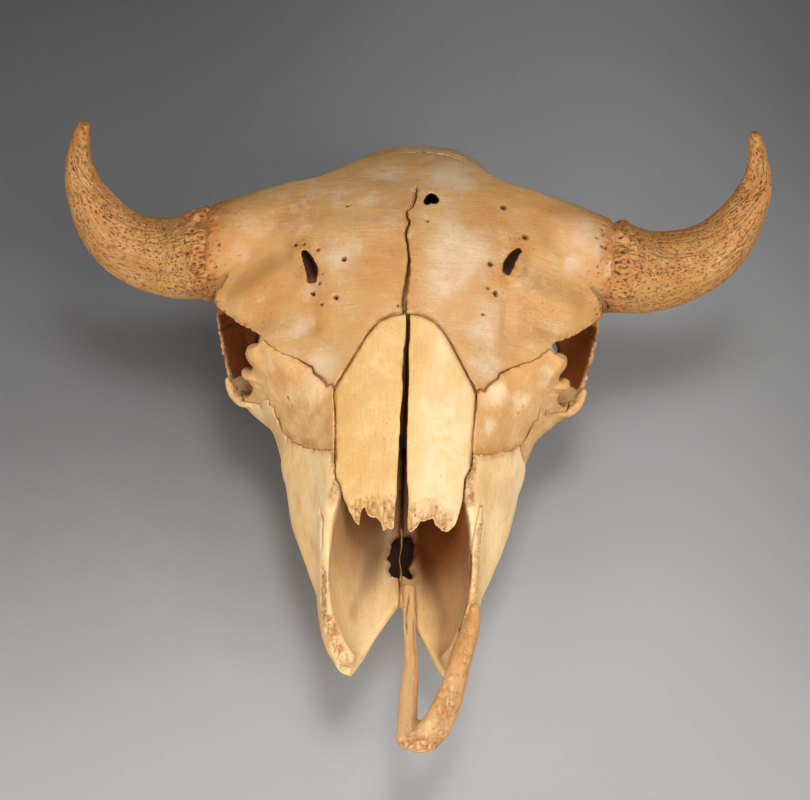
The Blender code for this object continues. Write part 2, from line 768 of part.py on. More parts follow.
def bones():
    """Every bone of the skull as an object of its own, in the skull's frame."""
    thin = [lightened(nasal(s), THIN_TRIANGLES) for s in SIDES.values()] + [lightened(premaxilla(), THIN_TRIANGLES)]
    rest = lightened(whole_skull(), SKULL_TRIANGLES)
    for bed in [nasal_bed(s) for s in SIDES.values()] + [grown(thin[-1], SUTURE_GAP)]:
        rest = carved(rest, bed, "DIFFERENCE", "rest")
    found = list(thin)
    for label, region in (
        ("horn_core", horn_region), ("frontal", frontal_region), ("lacrimal", lacrimal_region),
        ("zygomatic", zygomatic_region),
    ):
        for side, s in SIDES.items():
            bone, rest = parted(rest, region(s), region(s, SUTURE_GAP), label + "_" + side)
            found.append(bone)
    region, wider = (carved(*palatine_regions(grow), "UNION", "region") for grow in (0, SUTURE_GAP))
    bone, rest = parted(rest, region, wider, "palatine")
    found.append(bone)
    for side, s in SIDES.items():
        bone, rest = parted(rest, maxilla_region(s), maxilla_region(s, SUTURE_GAP), "maxilla_" + side)
        bone = largest_body(bone)
        for tooth in teeth(s):
            bone = carved(bone, tooth, "UNION", "maxilla_" + side)
        found.append(bone)
    rest.name = "braincase"
    found.append(rest)
    return [largest_body(bone) for bone in found]


FINISHES = {
    "horn_core": (0.50, 0.30, 0.12), "frontal": (0.66, 0.47, 0.27), "nasal": (0.68, 0.48, 0.22),
    "lacrimal": (0.62, 0.43, 0.22), "zygomatic": (0.58, 0.38, 0.18), "maxilla": (0.66, 0.45, 0.21),
    "premaxilla": (0.60, 0.42, 0.22), "palatine": (0.50, 0.33, 0.16), "braincase": (0.56, 0.39, 0.21),
}


def dress(obj):
    """A plain bone finish for the object."""
    material = bpy.data.materials.new(obj.name)
    material.use_nodes = True
    shader = material.node_tree.nodes["Principled BSDF"]
    shader.inputs["Base Color"].default_value = (*FINISHES[obj.name.replace("_left", "").replace("_right", "")], 1)
    shader.inputs["Roughness"].default_value = 0.62
    obj.data.materials.clear()
    obj.data.materials.append(material)


def rest_tilt(skull):
    """The angle, nose up, at which the teeth and the back of the base stand on one level."""
    points = np.array([v.co[:] for obj in skull for v in obj.data.vertices])
    teeth_points, base_points = points[points[:, 1] < 320], points[points[:, 1] > 400]
    low, high = 0.0, math.radians(25)
    for _ in range(40):
        tilt = (low + high) / 2
        heights = [(z[:, 2] * math.cos(tilt) - z[:, 1] * math.sin(tilt)).min() for z in (teeth_points, base_points)]
        low, high = (tilt, high) if heights[0] < heights[1] else (low, tilt)
    return tilt


def laid_down(skull):
    """The bones turned to the way the skull rests, stood on the floor, in metres."""
    turn = Matrix.Rotation(-rest_tilt(skull), 4, "X")
    for obj in skull:
        obj.data.transform(turn)
    points = np.array([v.co[:] for obj in skull for v in obj.data.vertices])
    low, high = points.min(axis=0), points.max(axis=0)
    floor = low[2] + FLAT_DEPTH
    middle = (low + high) / 2
    done = []
    for obj in skull:
        if min(v.co.z for v in obj.data.vertices) < floor:
            below = loft(
                "below",
                [[(x, y, floor + z) for x, y in ((-400, -400), (400, -400), (400, 900), (-400, 900))] for z in (-60, 0)],
            )
            obj = largest_body(carved(obj, below, "DIFFERENCE", obj.name))
        obj.data.transform(Matrix.Scale(MM, 4) @ Matrix.Translation((-middle[0], -middle[1], -floor)))
        obj.data.update()
        done.append(obj)
    return done


def main():
    clear_scene()
    for obj in laid_down(bones()):
        dress(obj)


if __name__ == "__main__":
    main()
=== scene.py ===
"""Skull of a bison bull without its lower jaw, dressed for a studio picture.

Shapes are worked in the skull's own frame in millimetres: x to the animal's left, y back from the tip of
the premaxilla, z up from the plane of the cheek teeth. RestPose turns them to the way the skull lies.
"""

import logging
import math
from collections.abc import Callable, Sequence
from dataclasses import dataclass, field
from enum import Enum
from itertools import product

import bmesh
import bpy
import numpy as np
from mathutils import Matrix, Vector


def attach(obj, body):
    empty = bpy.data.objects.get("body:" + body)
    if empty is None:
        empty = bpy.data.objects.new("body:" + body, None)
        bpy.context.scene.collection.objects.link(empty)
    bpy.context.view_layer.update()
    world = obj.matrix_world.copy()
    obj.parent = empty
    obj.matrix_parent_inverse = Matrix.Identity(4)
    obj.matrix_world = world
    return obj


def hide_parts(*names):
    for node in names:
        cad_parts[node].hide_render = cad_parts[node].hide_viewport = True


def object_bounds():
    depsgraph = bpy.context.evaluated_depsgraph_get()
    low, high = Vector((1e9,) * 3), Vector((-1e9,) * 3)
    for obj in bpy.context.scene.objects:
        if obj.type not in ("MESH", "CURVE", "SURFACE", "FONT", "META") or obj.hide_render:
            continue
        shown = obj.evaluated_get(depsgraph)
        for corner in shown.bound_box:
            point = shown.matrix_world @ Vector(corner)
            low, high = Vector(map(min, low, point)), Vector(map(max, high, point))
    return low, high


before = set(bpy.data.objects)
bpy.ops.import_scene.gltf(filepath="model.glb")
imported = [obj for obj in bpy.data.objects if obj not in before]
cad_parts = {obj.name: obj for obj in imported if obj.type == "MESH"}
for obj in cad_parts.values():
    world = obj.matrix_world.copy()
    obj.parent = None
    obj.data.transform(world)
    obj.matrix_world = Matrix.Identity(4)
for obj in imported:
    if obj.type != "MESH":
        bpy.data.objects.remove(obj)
CAD_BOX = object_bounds()

LOG = logging.getLogger("bison_skull")

MM = 0.001
SUTURE_GAP = 0.35
# Marks that the finish reads, in order: bleached patches; stains; painted shade in pores, pits, grooves and
# holes, with dark seams; painted shade inside the sockets, the nose and under plates.
MARKS = ("pale", "rust", "shade", "hollow")
HASH_STEP, HASH_START, HASH_MIX, HASH_TOP = 747796405, 12345, 2246822519, 4294967295
HASH_PRIMES = (374761393, 668265263, 3266489917)
FIBRES = (0.16, 1, 1)

Pairs = tuple[tuple[float, float], ...]
Path = Sequence[Sequence[float]]
Colour = tuple[float, float, float]
Height = Callable[[np.ndarray, np.ndarray], np.ndarray]
Thing = bpy.types.Object


class Side(Enum):
    """A side of the head; the value is the sign of x there."""

    LEFT = 1
    RIGHT = -1

    @property
    def word(self) -> str:
        """The side's name as node names spell it."""
        return self.name.lower()


class Cut(Enum):
    """What a tool does to the piece that it meets."""

    TAKE_AWAY = "DIFFERENCE"
    KEEP_SHARED = "INTERSECT"
    JOIN = "UNION"


def profile(points: Path) -> Callable[[np.ndarray], np.ndarray]:
    """A smooth curve through (place, value) pairs that never overshoots them.

    Args:
        points: The pairs, in order of place.

    Returns:
        A function from places to values, level beyond the ends.
    """
    xs, ys = (np.array(column, float) for column in zip(*points))
    steps, rises = np.diff(xs), np.diff(ys)
    secants = rises / steps
    slopes = np.zeros(len(xs))
    for i in range(1, len(xs) - 1):
        before, after = secants[i - 1], secants[i]
        if before * after > 0:
            slopes[i] = 2 * before * after / (before + after)
    slopes[0], slopes[-1] = secants[0], secants[-1]

    def value(at: np.ndarray) -> np.ndarray:
        """The curve's value at each place.

        Args:
            at: The places.

        Returns:
            The values.
        """
        at = np.clip(np.asarray(at, float), xs[0], xs[-1])
        i = np.clip(np.searchsorted(xs, at) - 1, 0, len(steps) - 1)
        t = (at - xs[i]) / steps[i]
        low, high = slopes[i] * steps[i], slopes[i + 1] * steps[i]
        return (
            ys[i] * (2 * t**3 - 3 * t**2 + 1) + low * (t**3 - 2 * t**2 + t)
            + ys[i + 1] * (3 * t**2 - 2 * t**3) + high * (t**3 - t**2)
        )

    return value


def evenly(values: Sequence[float]) -> Callable[[np.ndarray], np.ndarray]:
    """A smooth curve through values evenly spaced from 0 to 1."""
    return profile(list(zip(np.linspace(0, 1, len(values)), values)))


def ease(low: float, high: float, value: np.ndarray) -> np.ndarray:
    """A share that rises smoothly from 0 to 1.

    Args:
        low: Where the rise begins.
        high: Where it ends; below low it falls instead.
        value: The places.

    Returns:
        The share at each place.
    """
    t = np.clip((np.asarray(value, float) - low) / (high - low), 0, 1)
    return t * t * (3 - 2 * t)


def smooth_path(points: Path, count: int, closed: bool = False) -> np.ndarray:
    """A curve through a few points, sampled at even spacing.

    Args:
        points: The points that the curve passes through.
        count: How many samples to give.
        closed: Whether the last point leads back to the first.

    Returns:
        The samples, one row each.
    """
    p = np.array(points, float)
    n = len(p)
    dense = []
    for i in range(n if closed else n - 1):
        if closed:
            a, b, c, d = (p[(i + k) % n] for k in (-1, 0, 1, 2))
        else:
            a, b, c, d = (p[min(max(i + k, 0), n - 1)] for k in (-1, 0, 1, 2))
        for t in np.linspace(0, 1, 16, endpoint=False):
            rise = (2 * a - 5 * b + 4 * c - d) * t**2 + (3 * b - a - 3 * c + d) * t**3
            dense.append(0.5 * (2 * b + (c - a) * t + rise))
    dense.append(p[0] if closed else p[-1])
    line = np.array(dense)
    run = np.concatenate([[0], np.cumsum(np.linalg.norm(np.diff(line, axis=0), axis=1))])
    at = np.linspace(0, run[-1], count + 1)[:-1] if closed else np.linspace(0, run[-1], count)
    return np.column_stack([np.interp(at, run, line[:, k]) for k in range(p.shape[1])])


def scatter(cell: np.ndarray, seed: int) -> np.ndarray:
    """A repeatable random number for each whole-number cell.

    Args:
        cell: Cell numbers, the last axis being the cell's coordinates.
        seed: Which set of numbers to draw.

    Returns:
        Numbers from 0 to 1.
    """
    mixed = np.full(cell.shape[:-1], (seed * HASH_STEP + HASH_START) % 2**32, np.uint32)
    for k, prime in zip(range(cell.shape[-1]), HASH_PRIMES):
        mixed ^= cell[..., k].astype(np.int64).astype(np.uint32) * np.uint32(prime)
        mixed = (mixed ^ (mixed >> 15)) * np.uint32(HASH_MIX)
        mixed ^= mixed >> 13
    return mixed / float(HASH_TOP)


def ripple(points: np.ndarray, size: float, seed: int) -> np.ndarray:
    """Smooth random ups and downs over space.

    Args:
        points: Places, one row each.
        size: The distance from one bump to the next.
        seed: Which pattern to draw.

    Returns:
        Heights from -1 to 1.
    """
    scaled = points / size
    base = np.floor(scaled)
    share = scaled - base
    share = share * share * (3 - 2 * share)
    total = np.zeros(len(points))
    for corner in product((0, 1), repeat=points.shape[1]):
        weight = np.ones(len(points))
        for k, step in enumerate(corner):
            weight *= share[:, k] if step else 1 - share[:, k]
        total += weight * scatter(base + corner, seed)
    return total * 2 - 1


def cloud(points: np.ndarray, size: float, seed: int, layers: int = 3) -> np.ndarray:
    """Ripples with finer ripples on them.

    Args:
        points: Places, one row each.
        size: The broadest ripple's spacing.
        seed: Which pattern to draw.
        layers: How many times the ripples halve.

    Returns:
        Heights of about -1 to 1.
    """
    return sum(ripple(points, size / 2**k, seed + 17 * k) / 2**k for k in range(layers)) / 1.5


def cells(points: np.ndarray, size: float, seed: int) -> tuple[np.ndarray, np.ndarray]:
    """Scattered spots, one to a cell.

    Args:
        points: Places, one row each.
        size: The cells' width.
        seed: Which pattern to draw.

    Returns:
        The distance to the nearest spot as a share of the cell's width, and that spot's number from 0 to 1.
    """
    scaled = points / size
    base = np.floor(scaled)
    nearest, luck = np.full(len(points), 9.0), np.zeros(len(points))
    for corner in product((-1, 0, 1), repeat=points.shape[1]):
        cell = base + corner
        spot = cell + np.stack([scatter(cell, seed + 1 + k) for k in range(points.shape[1])], axis=1)
        distance = np.linalg.norm(scaled - spot, axis=1)
        closer = distance < nearest
        nearest = np.where(closer, distance, nearest)
        luck = np.where(closer, scatter(cell, seed + 9), luck)
    return nearest, luck


def pits(points: np.ndarray, size: float, seed: int, share: float, width: float = 0.3) -> np.ndarray:
    """How deep small pits are.

    Args:
        points: Places, one row each.
        size: The spacing of the places where a pit may be.
        seed: Which pattern to draw.
        share: How many of those places have one, from 0 to 1.
        width: A pit's radius as a share of the spacing.

    Returns:
        0 outside the pits and up to 1 in their middles.
    """
    distance, luck = cells(points, size, seed)
    radius = width * (0.55 + 0.45 * luck / max(share, 0.01))
    return np.where(luck < share, ease(1, 0.35, distance / radius), 0.0)


def link(mesh: bpy.types.Mesh, name: str) -> Thing:
    """An object for a mesh, put in the scene.

    Args:
        mesh: The mesh.
        name: The object's name.

    Returns:
        The object.
    """
    thing = bpy.data.objects.new(name, mesh)
    bpy.context.scene.collection.objects.link(thing)
    return thing


def shaped(name: str, fill: Callable[[bmesh.types.BMesh], None]) -> Thing:
    """A mesh object made by a function that fills a bmesh.

    Args:
        name: The object's name.
        fill: Adds the faces.

    Returns:
        The object, triangles only, faces out.
    """
    bm = bmesh.new()
    fill(bm)
    bmesh.ops.triangulate(bm, faces=bm.faces)
    bmesh.ops.recalc_face_normals(bm, faces=bm.faces)
    mesh = bpy.data.meshes.new(name)
    bm.to_mesh(mesh)
    bm.free()
    return link(mesh, name)


def loft(name: str, rings: Sequence[Path]) -> Thing:
    """A closed solid through rings of as many points each, with flat ends.

    Args:
        name: The object's name.
        rings: The rings, from one end to the other.

    Returns:
        The object.
    """

    def fill(bm: bmesh.types.BMesh) -> None:
        """Adds the walls between the rings and the two ends.

        Args:
            bm: Takes the faces.
        """
        loops = [[bm.verts.new(p) for p in ring] for ring in rings]
        for low, high in zip(loops, loops[1:]):
            for i in range(len(low)):
                j = (i + 1) % len(low)
                bm.faces.new((low[i], low[j], high[j], high[i]))
        bm.faces.new(loops[0][::-1])
        bm.faces.new(loops[-1])

    return shaped(name, fill)


def ring_at(y: float, half: Path, count: int = 72) -> list[tuple[float, float, float]]:
    """A ring across the head from the outline of its left half.

    Args:
        y: Where the ring stands.
        half: (x, z) points from the top of the midline round to the bottom.
        count: How many points to give.

    Returns:
        The ring's points.
    """
    half = [tuple(p) for p in half]
    whole = half + [(-x, z) for x, z in half[-2:0:-1]]
    return [(x, y, z) for x, z in smooth_path(whole, count, closed=True)]


def frames_along(
    path: Path, count: int, tilt: Sequence[float], soft: int = 0,
) -> tuple[np.ndarray, np.ndarray, np.ndarray]:
    """Centres along a path with the two directions square to it at each.

    Args:
        path: The points that the path passes through.
        count: How many centres to give.
        tilt: The direction that the second of the two lies nearest to.
        soft: Over how many centres its bends are evened out.

    Returns:
        The centres, the directions across and the directions up.
    """
    centres = smooth_path(path, count)
    if soft:
        straight = np.linspace(centres[0], centres[-1], count)
        bow = np.pad(centres - straight, ((soft, soft), (0, 0)), mode="reflect", reflect_type="odd")
        window = np.hanning(2 * soft + 1) / np.hanning(2 * soft + 1).sum()
        centres = straight + np.column_stack([np.convolve(bow[:, k], window, "valid") for k in range(3)])
    forward = np.gradient(centres, axis=0)
    forward /= np.linalg.norm(forward, axis=1, keepdims=True)
    lean = np.array(tilt, float)
    upward = lean - (forward @ lean)[:, None] * forward
    upward /= np.linalg.norm(upward, axis=1, keepdims=True)
    return centres, np.cross(forward, upward), upward


def ovals(frames: Sequence[np.ndarray], w: np.ndarray, h: np.ndarray, turn: np.ndarray) -> np.ndarray:
    """Oval rings about centres.

    Args:
        frames: The centres, the directions across and the directions up.
        w: Each ring's half width.
        h: Its half height.
        turn: The angles of a ring's points.

    Returns:
        The rings' points.
    """
    centres, across, upward = frames
    return (
        centres[:, None] + across[:, None] * (w[:, None] * np.cos(turn))[..., None]
        + upward[:, None] * (h[:, None] * np.sin(turn))[..., None]
    )


def tube(
    name: str, path: Path, wide: Sequence[float], high: Sequence[float] | None = None, count: int = 40,
    sides: int = 28, tilt: Sequence[float] = (0, 0, 1),
) -> Thing:
    """An oval swept along a path.

    Args:
        name: The object's name.
        path: The points that its middle passes through.
        wide: Half widths, evenly spaced along the path.
        high: Half heights, or None for the widths again.
        count: How many rings it has.
        sides: How many points a ring has.
        tilt: The direction that the heights lie nearest to.

    Returns:
        The object.
    """
    along = np.linspace(0, 1, count)
    w = evenly(wide)(along)
    h = w if high is None else evenly(high)(along)
    turn = np.linspace(0, 2 * math.pi, sides, endpoint=False)
    return loft(name, ovals(frames_along(path, count, tilt), w, h, turn))


def ball(name: str, centre: Sequence[float], radii: Sequence[float],
         turn: Sequence[float] = (0, 0, 0)) -> Thing:
    """An ellipsoid.

    Args:
        name: The object's name.
        centre: Its middle.
        radii: Its half sizes.
        turn: Its turn about x, y and z in degrees.

    Returns:
        The object.
    """

    def fill(bm: bmesh.types.BMesh) -> None:
        """Adds a sphere and stretches it.

        Args:
            bm: Takes the faces.
        """
        bmesh.ops.create_uvsphere(bm, u_segments=36, v_segments=18, radius=1)
        spin = Matrix.Identity(3)
        for degrees, axis in zip(turn, "XYZ"):
            spin = Matrix.Rotation(math.radians(degrees), 3, axis) @ spin
        bmesh.ops.transform(bm, matrix=Matrix.LocRotScale(Vector(centre), spin, Vector(radii)),
                            verts=bm.verts)

    return shaped(name, fill)


def slab(name: str, outline: Path, top: Height, bottom: Height, rings: int = 9) -> Thing:
    """A plate over a plan outline.

    Args:
        name: The object's name.
        outline: Its outline in x and y.
        top: The upper face's height over the plan.
        bottom: The lower face's height.
        rings: How many rings of faces follow the heights towards the middle, or 0 for one plain face.

    Returns:
        The object.
    """
    border = np.array(outline, float)
    middle = border.mean(axis=0)

    def sheet(bm: bmesh.types.BMesh, height: Height) -> list[bmesh.types.BMVert]:
        """Adds one face of the plate and gives its border.

        Args:
            bm: Takes the faces.
            height: The face's height over the plan.

        Returns:
            The border's points.
        """
        shares = np.linspace(1, 0, max(rings, 1), endpoint=False)
        loops = []
        for share in shares:
            at = middle + (border - middle) * share
            heights = np.broadcast_to(height(at[:, 0], at[:, 1]), len(at))
            loops.append([bm.verts.new((x, y, z)) for (x, y), z in zip(at, heights)])
        if not rings:
            bm.faces.new(loops[0])
            return loops[0]
        for outer, inner in zip(loops, loops[1:]):
            for i in range(len(outer)):
                j = (i + 1) % len(outer)
                bm.faces.new((outer[i], outer[j], inner[j], inner[i]))
        peak = bm.verts.new((*middle, float(height(middle[0], middle[1]))))
        for a, b in zip(loops[-1], loops[-1][1:] + loops[-1][:1]):
            bm.faces.new((a, b, peak))
        return loops[0]

    def fill(bm: bmesh.types.BMesh) -> None:
        """Adds both faces and the wall between them.

        Args:
            bm: Takes the faces.
        """
        upper, lower = sheet(bm, top), sheet(bm, bottom)
        for i in range(len(upper)):
            j = (i + 1) % len(upper)
            bm.faces.new((upper[i], lower[i], lower[j], upper[j]))

    return shaped(name, fill)


def settled(thing: Thing, name: str) -> Thing:
    """The object with its modifiers worked in, as a new object.

    Args:
        thing: The object, which is removed.
        name: The new object's name.

    Returns:
        The new object.
    """
    bpy.context.view_layer.update()
    graph = bpy.context.evaluated_depsgraph_get()
    mesh = bpy.data.meshes.new_from_object(thing.evaluated_get(graph))
    bpy.data.objects.remove(thing)
    return link(mesh, name)


def skinned(name: str, things: Sequence[Thing], voxel: float, smoothing: int) -> Thing:
    """Overlapping closed shapes as one closed skin.

    Args:
        name: The new object's name.
        things: The shapes, which are removed.
        voxel: The skin's spacing.
        smoothing: How often it is smoothed.

    Returns:
        The skin.
    """
    bm = bmesh.new()
    for thing in things:
        bm.from_mesh(thing.data)
        bpy.data.objects.remove(thing)
    mesh = bpy.data.meshes.new(name)
    bm.to_mesh(mesh)
    bm.free()
    whole = link(mesh, name)
    remesh = whole.modifiers.new("skin", "REMESH")
    remesh.mode = "VOXEL"
    remesh.voxel_size = voxel
    soften = whole.modifiers.new("soften", "SMOOTH")
    soften.factor = 0.5
    soften.iterations = smoothing
    return settled(whole, name)


def worked(thing: Thing, tool: Thing, cut: Cut) -> Thing:
    """The object after a tool has met it.

    Args:
        thing: The object, which the result takes the place of.
        tool: The tool, which is removed.
        cut: What the tool does.

    Returns:
        The result, under the object's name.
    """
    knife = thing.modifiers.new("cut", "BOOLEAN")
    knife.operation = cut.value
    knife.solver = "MANIFOLD"
    knife.object = tool
    result = settled(thing, thing.name)
    bpy.data.objects.remove(tool)
    return result


def outward(thing: Thing) -> Thing:
    """The object with all its faces turned out.

    Args:
        thing: The object.

    Returns:
        The same object.
    """
    bm = bmesh.new()
    bm.from_mesh(thing.data)
    bmesh.ops.recalc_face_normals(bm, faces=bm.faces)
    bm.to_mesh(thing.data)
    bm.free()
    return thing


def copied(thing: Thing, name: str) -> Thing:
    """A copy of the object with a mesh of its own."""
    return link(thing.data.copy(), name)


def largest(thing: Thing) -> Thing:
    """The object with only its largest connected surface kept.

    Args:
        thing: The object.

    Returns:
        The same object.
    """
    mesh = thing.data
    ends = np.zeros(len(mesh.edges) * 2, np.int32)
    mesh.edges.foreach_get("vertices", ends)
    ends = ends.reshape(-1, 2)
    group = np.arange(len(mesh.vertices))
    while True:
        low = np.minimum(group[ends[:, 0]], group[ends[:, 1]])
        before = group.copy()
        np.minimum.at(group, ends[:, 0], low)
        np.minimum.at(group, ends[:, 1], low)
        group = group[group]
        if np.array_equal(before, group):
            break
    kept = np.bincount(group).argmax()
    if (group != kept).any():
        bm = bmesh.new()
        bm.from_mesh(mesh)
        bm.verts.ensure_lookup_table()
        bmesh.ops.delete(bm, geom=[bm.verts[int(i)] for i in np.flatnonzero(group != kept)], context="VERTS")
        bm.to_mesh(mesh)
        bm.free()
    return thing


def mirror(outline: Path, side: Side) -> np.ndarray:
    """A left-hand plan outline for either side, wound the same way on both."""
    flat = np.array(outline, float)
    return flat if side is Side.LEFT else (flat * (-1, 1))[::-1]


def sided(path: Path, side: Side) -> np.ndarray:
    """A left-hand path in space for either side."""
    return np.array(path, float) * (side.value, 1, 1)


def level(height: float) -> Height:
    """A face that lies flat."""
    return lambda x, y: height + 0 * x


def widened(outline: Path, amount: float | np.ndarray) -> np.ndarray:
    """A plan outline moved outward by an amount, its corners kept.

    Args:
        outline: The outline.
        amount: How far to move it, for all its points or for each.

    Returns:
        The moved outline.
    """
    p = np.array(outline, float)
    before, after = p - np.roll(p, 1, axis=0), np.roll(p, -1, axis=0) - p
    turn = np.sign(np.sum(p[:, 0] * np.roll(p[:, 1], -1) - np.roll(p[:, 0], -1) * p[:, 1]))
    normals = [
        np.column_stack([edge[:, 1], -edge[:, 0]]) / np.linalg.norm(edge, axis=1, keepdims=True) * turn
        for edge in (before, after)
    ]
    corner = normals[0] + normals[1]
    length = np.maximum(np.sum(corner**2, axis=1, keepdims=True), 0.8)
    return p + corner * 2 / length * np.asarray(amount)[..., None]


def ragged(line: Path, size: float, swing: float, seed: int) -> np.ndarray:
    """A line with the small zigzags of a suture.

    Args:
        line: The line's points in plan.
        size: The spacing of the zigzags.
        swing: How far they stray to each side.
        seed: Which pattern to draw.

    Returns:
        The line's points, ends unmoved.
    """
    p = np.array(line, float)
    length = np.linalg.norm(np.diff(p, axis=0), axis=1).sum()
    count = max(int(length / (size * 0.5)), 3)
    at = smooth_path(p, count)
    along = np.gradient(at, axis=0)
    across = np.column_stack([along[:, 1], -along[:, 0]])
    across /= np.linalg.norm(across, axis=1, keepdims=True)
    stray = cloud(np.column_stack([np.linspace(0, length, count), np.zeros(count)]), size, seed, 2)
    fade = np.minimum(np.arange(count), np.arange(count)[::-1]).clip(0, 2) / 2
    return at + across * (stray * fade * swing)[:, None]


@dataclass(frozen=True)
class RestPose:
    """The way the skull lies: nose up, on its last molars and the processes behind its base."""

    tilt: float = math.radians(9.7126)
    middle: tuple[float, float] = (4.9408, 281.3686)
    floor: float = -49.3838

    def place(self, points: np.ndarray) -> np.ndarray:
        """Points of the skull's frame in millimetres as the scene's metres, kept inside the model's box.

        Args:
            points: The points, one row each.

        Returns:
            The same points where they lie.
        """
        cos, sin = math.cos(self.tilt), math.sin(self.tilt)
        x, y, z = points.T
        turned = np.column_stack([
            x - self.middle[0], y * cos + z * sin - self.middle[1], z * cos - y * sin - self.floor,
        ])
        return np.clip(turned * MM, CAD_BOX[0], CAD_BOX[1])


POSE = RestPose()


class Skin:
    """A piece's surface while it is worked on, in the skull's frame in millimetres."""

    def __init__(self, thing: Thing) -> None:
        """Takes up the object's points and normals.

        Args:
            thing: The object.
        """
        self.thing = thing
        self.rest = self.read("co")
        self.at = self.rest.copy()
        self.out = self.read("normal")
        self.marks = {name: np.zeros(len(self.at)) for name in MARKS}
        self.flow: np.ndarray | None = None

    def read(self, what: str) -> np.ndarray:
        """A vector of every point, one row each.

        Args:
            what: Which vector.

        Returns:
            The vectors.
        """
        flat = np.zeros(len(self.thing.data.vertices) * 3, np.float32)
        self.thing.data.vertices.foreach_get(what, flat)
        return flat.reshape(-1, 3).astype(float)

    def push(self, amount: np.ndarray) -> None:
        """Moves every point out along its normal."""
        self.at += self.out * np.asarray(amount)[:, None]

    def mark(self, name: str, amount: np.ndarray) -> None:
        """Raises one of the marks that the finish reads to at least the amount."""
        self.marks[name] = np.maximum(self.marks[name], np.clip(amount, 0, 1))

    def near(self, path: Path, reach: float) -> tuple[np.ndarray, np.ndarray]:
        """How far each point lies from a line.

        Args:
            path: The line's points.
            reach: The distance beyond which the answer doesn't matter.

        Returns:
            The distance, large beyond reach, and the share of the line's points passed there.
        """
        line = np.atleast_2d(np.array(path, float))
        if len(line) == 1:
            line = np.vstack([line, line])
        distance, share = np.full(len(self.rest), 1e6), np.zeros(len(self.rest))
        inside = np.flatnonzero(
            ((self.rest > line.min(axis=0) - reach) & (self.rest < line.max(axis=0) + reach)).all(axis=1)
        )
        close, passed, p = distance[inside], share[inside], self.rest[inside]
        for i, (a, b) in enumerate(zip(line, line[1:])):
            run = b - a
            t = np.clip(((p - a) @ run) / max(run @ run, 1e-9), 0, 1)
            gap = np.linalg.norm(p - a - t[:, None] * run, axis=1)
            passed = np.where(gap < close, (i + t) / (len(line) - 1), passed)
            close = np.minimum(close, gap)
        distance[inside], share[inside] = close, passed
        return distance, share

    def groove(self, path: Path, width: float, depth: float, shade: float = 0.0) -> None:
        """Sinks a line into the surface, shallow at its ends, or raises it where depth is below nothing.

        Args:
            path: The line's points.
            width: How far its sides reach.
            depth: How deep it is.
            shade: How much painted shade lies in its bottom, from 0 to 1.
        """
        distance, share = self.near(path, width)
        form = ease(width, 0, distance) * ease(0, 0.2, share) * ease(1, 0.8, share)
        self.push(-depth * form)
        self.mark("shade", shade * form**2)

    def seam(self, path: Path, seed: int) -> None:
        """Sinks and darkens the edge along a seam, unevenly.

        Args:
            path: The seam's points.
            seed: Which pattern to draw.
        """
        distance, _ = self.near(path, 6)
        uneven = ease(-0.5, 0.5, cloud(self.rest, 7, seed, 2))
        lumps = 0.5 * ease(4, 1, distance) * cloud(self.rest, 2.6, seed + 1, 2)
        self.push(lumps - 0.45 * ease(1.9, 0.2, distance))
        self.mark("shade", (0.35 + 0.55 * uneven) * ease(1.6, 0.4, distance))
        self.mark("rust", 0.55 * ease(4.5, 1, distance))

    def hole(self, centre: Sequence[float], radius: float, depth: float) -> None:
        """Sinks a small round hole with painted shade at its bottom.

        Args:
            centre: Its middle on the surface.
            radius: Its radius.
            depth: How deep it is.
        """
        distance, _ = self.near([centre], radius * 2.0)
        distance = distance * (1 + 0.35 * ripple(self.rest, 1.3 * radius, 19))
        self.push(-depth * ease(radius * 1.35, radius * 0.5, distance))
        self.mark("shade", ease(radius * 1.35, radius * 0.8, distance))

    def patch(self, name: str, centre: Sequence[float], radius: float, amount: float) -> None:
        """Lays a soft ragged patch of a mark.

        Args:
            name: Which mark.
            centre: Its middle.
            radius: Its reach.
            amount: How strong it is.
        """
        distance, _ = self.near([centre], radius * 1.6)
        edge = distance / radius + 0.5 * cloud(self.rest, radius * 0.9, 77, 5)
        self.mark(name, amount * ease(1.05, 0.25, edge))

    def broken(self, mask: np.ndarray, depth: float, seed: int, grain: Sequence[float] = (1, 1, 1)) -> None:
        """Lays the spongy inside of the bone open where it is broken off.

        Args:
            mask: Where it is broken, from 0 to 1.
            depth: How rough the break is.
            seed: Which pattern to draw.
            grain: How the break's fibres are drawn out, small along them.
        """
        drawn = self.rest * np.array(grain)
        ridges = np.abs(cloud(drawn, 3.0, seed, 2))
        self.push(mask * depth * (0.4 * cloud(drawn, 6.0, seed + 1, 2) - 1.1 * ridges))
        distance, luck = cells(drawn, 1.9, seed + 2)
        spots = ease(0.40, 0.2, distance) * (luck < 0.35) * mask
        self.push(-0.5 * depth * spots)
        tint = ease(-0.3, 0.4, cloud(drawn, 5.0, seed + 3, 2))
        # Painted shade in the pits, and darker lines along the fibres.
        self.mark("shade", 0.7 * spots + 0.35 * mask * ease(0.30, 0.04, ridges))
        self.mark("rust", mask * (0.3 + 0.45 * tint))
        self.mark("pale", 0.6 * mask * ease(0.12, 0.5, ridges) * (1 - 0.6 * tint))

    def crust(self, mask: np.ndarray, height: float, seed: int) -> None:
        """Beads a thin edge with small crusty lumps, pale on top, with painted shade between them.

        Args:
            mask: Where the edge is, from 0 to 1.
            height: How far the lumps stand out.
            seed: Which pattern to draw.
        """
        bead, luck = cells(self.rest, 3.6, seed)
        grit, _ = cells(self.rest, 1.9, seed + 1)
        self.push(mask * height * (0.75 - 1.25 * bead + 0.35 * (0.5 - grit)) * (0.6 + 0.6 * luck))
        self.mark("shade", 0.55 * mask * ease(0.52, 0.8, bead))
        self.mark("pale", 0.5 * mask * ease(0.5, 0.2, bead))

